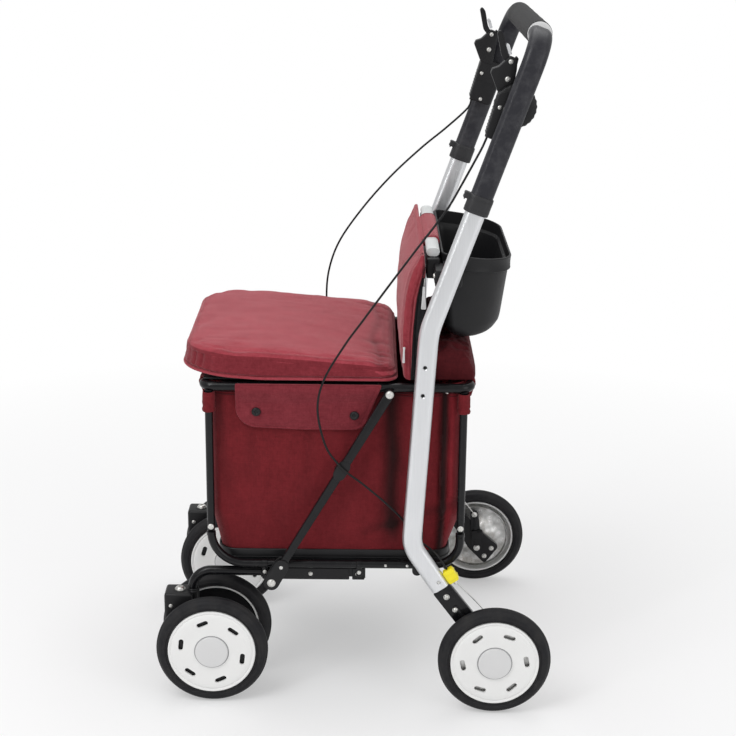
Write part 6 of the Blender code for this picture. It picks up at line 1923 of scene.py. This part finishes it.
def make_bag():
    heights = [0.1924, 0.1945, 0.199, 0.205, 0.211, *even(0.2163, 0.46, 48)]
    rings = [bag_floor(0.1923, 0.1924), bag_ring(0.1924, 0.004), *(bag_ring(z, 0.0) for z in heights)]
    rings += [bag_ring(0.4612, 0.0002), bag_ring(0.4618, 0.0008), bag_ring(0.4612, 0.0015)]
    rings += [*(bag_ring(z, 0.0017) for z in reversed(heights[2:])), bag_floor(0.1945, 0.199)]

    # Painted shade in the bag's folds and hollows.
    def fold_shade_at(point):
        x, y, z = point
        if abs(y) < 0.13:
            return 0.0
        sway = bag_sway(z)
        fold = 1.25 * crease(x - 0.1205 - sway, 0.0048) + 0.45 * crease(x - 0.144 - sway, 0.0016)
        fold += 0.92 * crease(x - 0.0545 + 2 * sway, 0.0115) * eased(0.2, 0.27, z)
        fold += 0.3 * crease(x + 0.179 + sway, 0.0045) * eased(0.26, 0.4, z)
        fold += 0.35 * slant_fold(x, z, 0.007)
        return fold + 0.25 * max(0.0, -wave((x, 0, z * 0.35), 40.0, 4.0))

    def on_strap(face, x, y, z):
        return 0.1262 < x < 0.142 and abs(y) > 0.13 and z > 0.215

    piece = Shape().add(loft(rings)).piece("bag_cloth", "bag strap", 75)
    paint_fold_shade(piece, fold_shade_at)
    second_look(piece, on_strap)
    hang(piece, "red_fabric", 0.5, "bag")

    hem = Shape()
    for z in (0.444, 0.4475):
        line = [p + Vector((0, math.copysign(0.0003, p.y), 0)) for p in bag_ring(z, -0.0002, 8, 24)]
        hem.add(sweep(line, round_section(0.0005, 6), closed=True))
    hang(hem.piece("bag_hem_stitch", "stitch", 60), "red_fabric", 0.5)


def ring_loop(x, y, index):
    """A section of a loop of cloth: round the ring's bar, and narrower below it."""
    ring = []
    for angle in angles(28):
        r = 0.0078 + 0.0005 * wave((0, y, angle * 0.02), 150.0, 3.0) + 0.0003 * math.sin(3 * angle + index)
        low = -math.sin(angle)
        wide = r * math.cos(angle) * (1 - 0.4 * eased(0.5, 1.0, low))
        ring.append((x + wide, y, RING_Z - r * low - 0.01 * eased(0.55, 1.0, low)))
    return ring


def make_ring_loops():
    """The bag's loops round the seat ring's front and rear bars."""
    loops = Shape()
    for side in SIDES.values():
        for x in (RING_REAR, RING_FRONT):
            for span in ((0.112, 0.147), (0.018, 0.05)):
                loops.add(loft([ring_loop(x, side * y, index) for index, y in enumerate(even(*span, 12))]))
    loops.put("bag_ring_loops", "bag", "seat_ring", "red_fabric", sharp=60)


def make_flap():
    """The side pocket's flap: it starts over the ring, and its hem runs round the lower corners."""
    corners = ((-0.161, 0.4635), (-0.1612, 0.401), (-0.07, 0.3972), (0.012, 0.3972), (0.0372, 0.4635))
    outline = outline_of(corners, (0.002, 0.029, 0.12, 0.02, 0.002), math.radians(6))
    outline = [Vector((x, 0, z)) for x, z in outline]
    outline = subdivided(outline + [outline[0]], 0.004)[:-1]
    centre = Vector((-0.062, 0, 0.432))

    def proud(x, z, share):
        ripple = 0.0011 * wave((x, 0, z), 34.0, 3.0) * (1 - share**6)
        ripple += 0.0006 * wave((x * 1.5, 0, z), 90.0, 5.0) * (1 - share**8)
        hem = 0.0008 * crease(share - 0.985, 0.02) - 0.0007 * crease(share - 0.936, 0.008)
        return 0.0058 * eased(0.432, 0.456, z) + 0.0022 * (1 - share**3) + hem + ripple

    rings = []
    hem_shares = (1.0, 0.994, 0.98, 0.962, 0.945, 0.93)
    for share in (*hem_shares, 0.91, 0.87, 0.8, 0.7, 0.58, 0.45, 0.32, 0.2, 0.1, 0.02):
        spots = [centre + (p - centre) * share for p in outline]
        rings.append([Vector((p.x, -0.1692 - proud(p.x, p.z, share), p.z)) for p in spots])
    back = [[p + Vector((0, 0.0015, 0)) for p in ring] for ring in reversed(rings)]
    piece = Shape().add(loft(back + rings)).piece("bag_pocket_flap", "flap", 75)
    hang(piece, "red_fabric", 0.5, "bag_flap")
    area = 0.5 * abs(sum(a.x * b.z - b.x * a.z for a, b in zip(outline, outline[1:] + outline[:1])))
    dome = [
        (0.0, 0.0012), (0.002, 0.0011), (0.0027, 0.0022), (0.0046, 0.0025), (0.0058, 0.0015),
        (0.0063, 0.0), (0.0, -0.0014),
    ]
    snaps = Shape()
    for x, z in ((-0.133, 0.4228), (0.0, 0.4186)):
        snaps.add(turned(dome, (x, -0.17208, z), (0, -1, 0), 32))
    hang(snaps.piece("bag_pocket_snaps", "black", 60), "black_plastic", 0.5)


def make_hood():
    """The cloth that bunches up behind the backrest, under the basket."""
    low, high, middle_x = 0.4643, 0.514, 0.1325
    corners = (
        (0.099, low), (0.104, high - 0.004), (0.13, high), (0.156, high - 0.01),
        (0.1655, high - 0.038), (0.166, low),
    )
    outline = outline_of(corners, (0.003, 0.008, 0.03, 0.008, 0.02, 0.003), math.radians(8))
    outline = subdivided([Vector((x, 0, z)) for x, z in outline + outline[:1]], 0.003)[:-1]
    rings = []
    for v in even(-1.0, 1.0, 120):
        y = 0.15 * v
        pinch = math.sqrt(max(0.0, 1 - abs(v) ** 9))
        ring = []
        for x, _, z in outline:
            lift = (z - low) / (high - low)
            fold = wave((x * 2.2, y * 1.4, z * 0.7), 36.0, 6.0)
            sharp = max(0.0, wave((x * 3.0, y * 3.5, z), 30.0, 2.0)) ** 0.7
            wide = (0.84 + 0.16 * pinch) * (1 - 0.05 * max(0.0, fold) * lift)
            tall = (0.62 + 0.38 * pinch) + 0.04 * min(0.0, fold) * lift
            ring.append((middle_x + (x - middle_x) * wide, y, low + (z - low) * tall - 0.0055 * sharp * lift))
        rings.append(ring)
    piece = Shape().add(loft(rings)).piece("bag_hood_cloth", "hood", 75)
    hang(piece, "red_fabric", 0.1, "bag_hood")


def make_sleeves():
    """Cloth sleeves of the bag round the tops of the posts."""
    for place, x in POST_STATIONS.items():
        shape = Shape()
        for side in SIDES.values():
            outer, inner = [], []
            for index, z in enumerate(even(0.4225, 0.45, 14)):
                swell = 0.0008 * crease(index - 1.0, 1.2) - 0.0006 * crease(index - 3.0, 0.8)
                out, back = [], []
                for angle in angles(28):
                    way = Vector((math.cos(angle), math.sin(angle), 0))
                    ruffle = wave((0.01 * way.x, side * 0.01 * way.y, z * 1.6), 130.0, 3.0)
                    r = 0.0086 + swell + 0.0009 * ruffle
                    spot = Vector((x, side * RING_Y, z))
                    out.append(spot + way * r)
                    back.append(spot + way * (r - 0.0012))
                outer.append(out)
                inner.append(back)
            shape.add(loft(outer + inner[::-1] + outer[:1], False))
        shape.put(f"{place}_post_sleeves", "bag", f"{place}_posts", "red_fabric", sharp=60)


# Everything together


def on_both_sides(*makers):
    for make in makers:
        for side_name, side in SIDES.items():
            make(side_name, side)


def main():
    make_stage()
    make_camera()
    make_looks()
    make_cables()
    make_wheels()
    on_both_sides(make_side_tube, make_rear_arm, make_brake_arm, make_adjuster)
    make_cross_bar()
    on_both_sides(make_clamp)
    make_handle()
    on_both_sides(make_collar, make_lever)
    make_ring()
    for place in POST_STATIONS:
        for side_name, side in SIDES.items():
            make_post(place, side_name, side)
    on_both_sides(make_base_rail, make_strut)
    make_tray()
    on_both_sides(make_side_rail, make_front_tube)
    for side_name, side in SIDES.items():
        make_caster_head(side_name, side)
        make_caster_fork(side_name, side)
    make_basket()
    make_cushion()
    make_backrest()
    make_backrest_trim()
    make_bag()
    make_ring_loops()
    make_flap()
    make_hood()
    make_sleeves()


main()
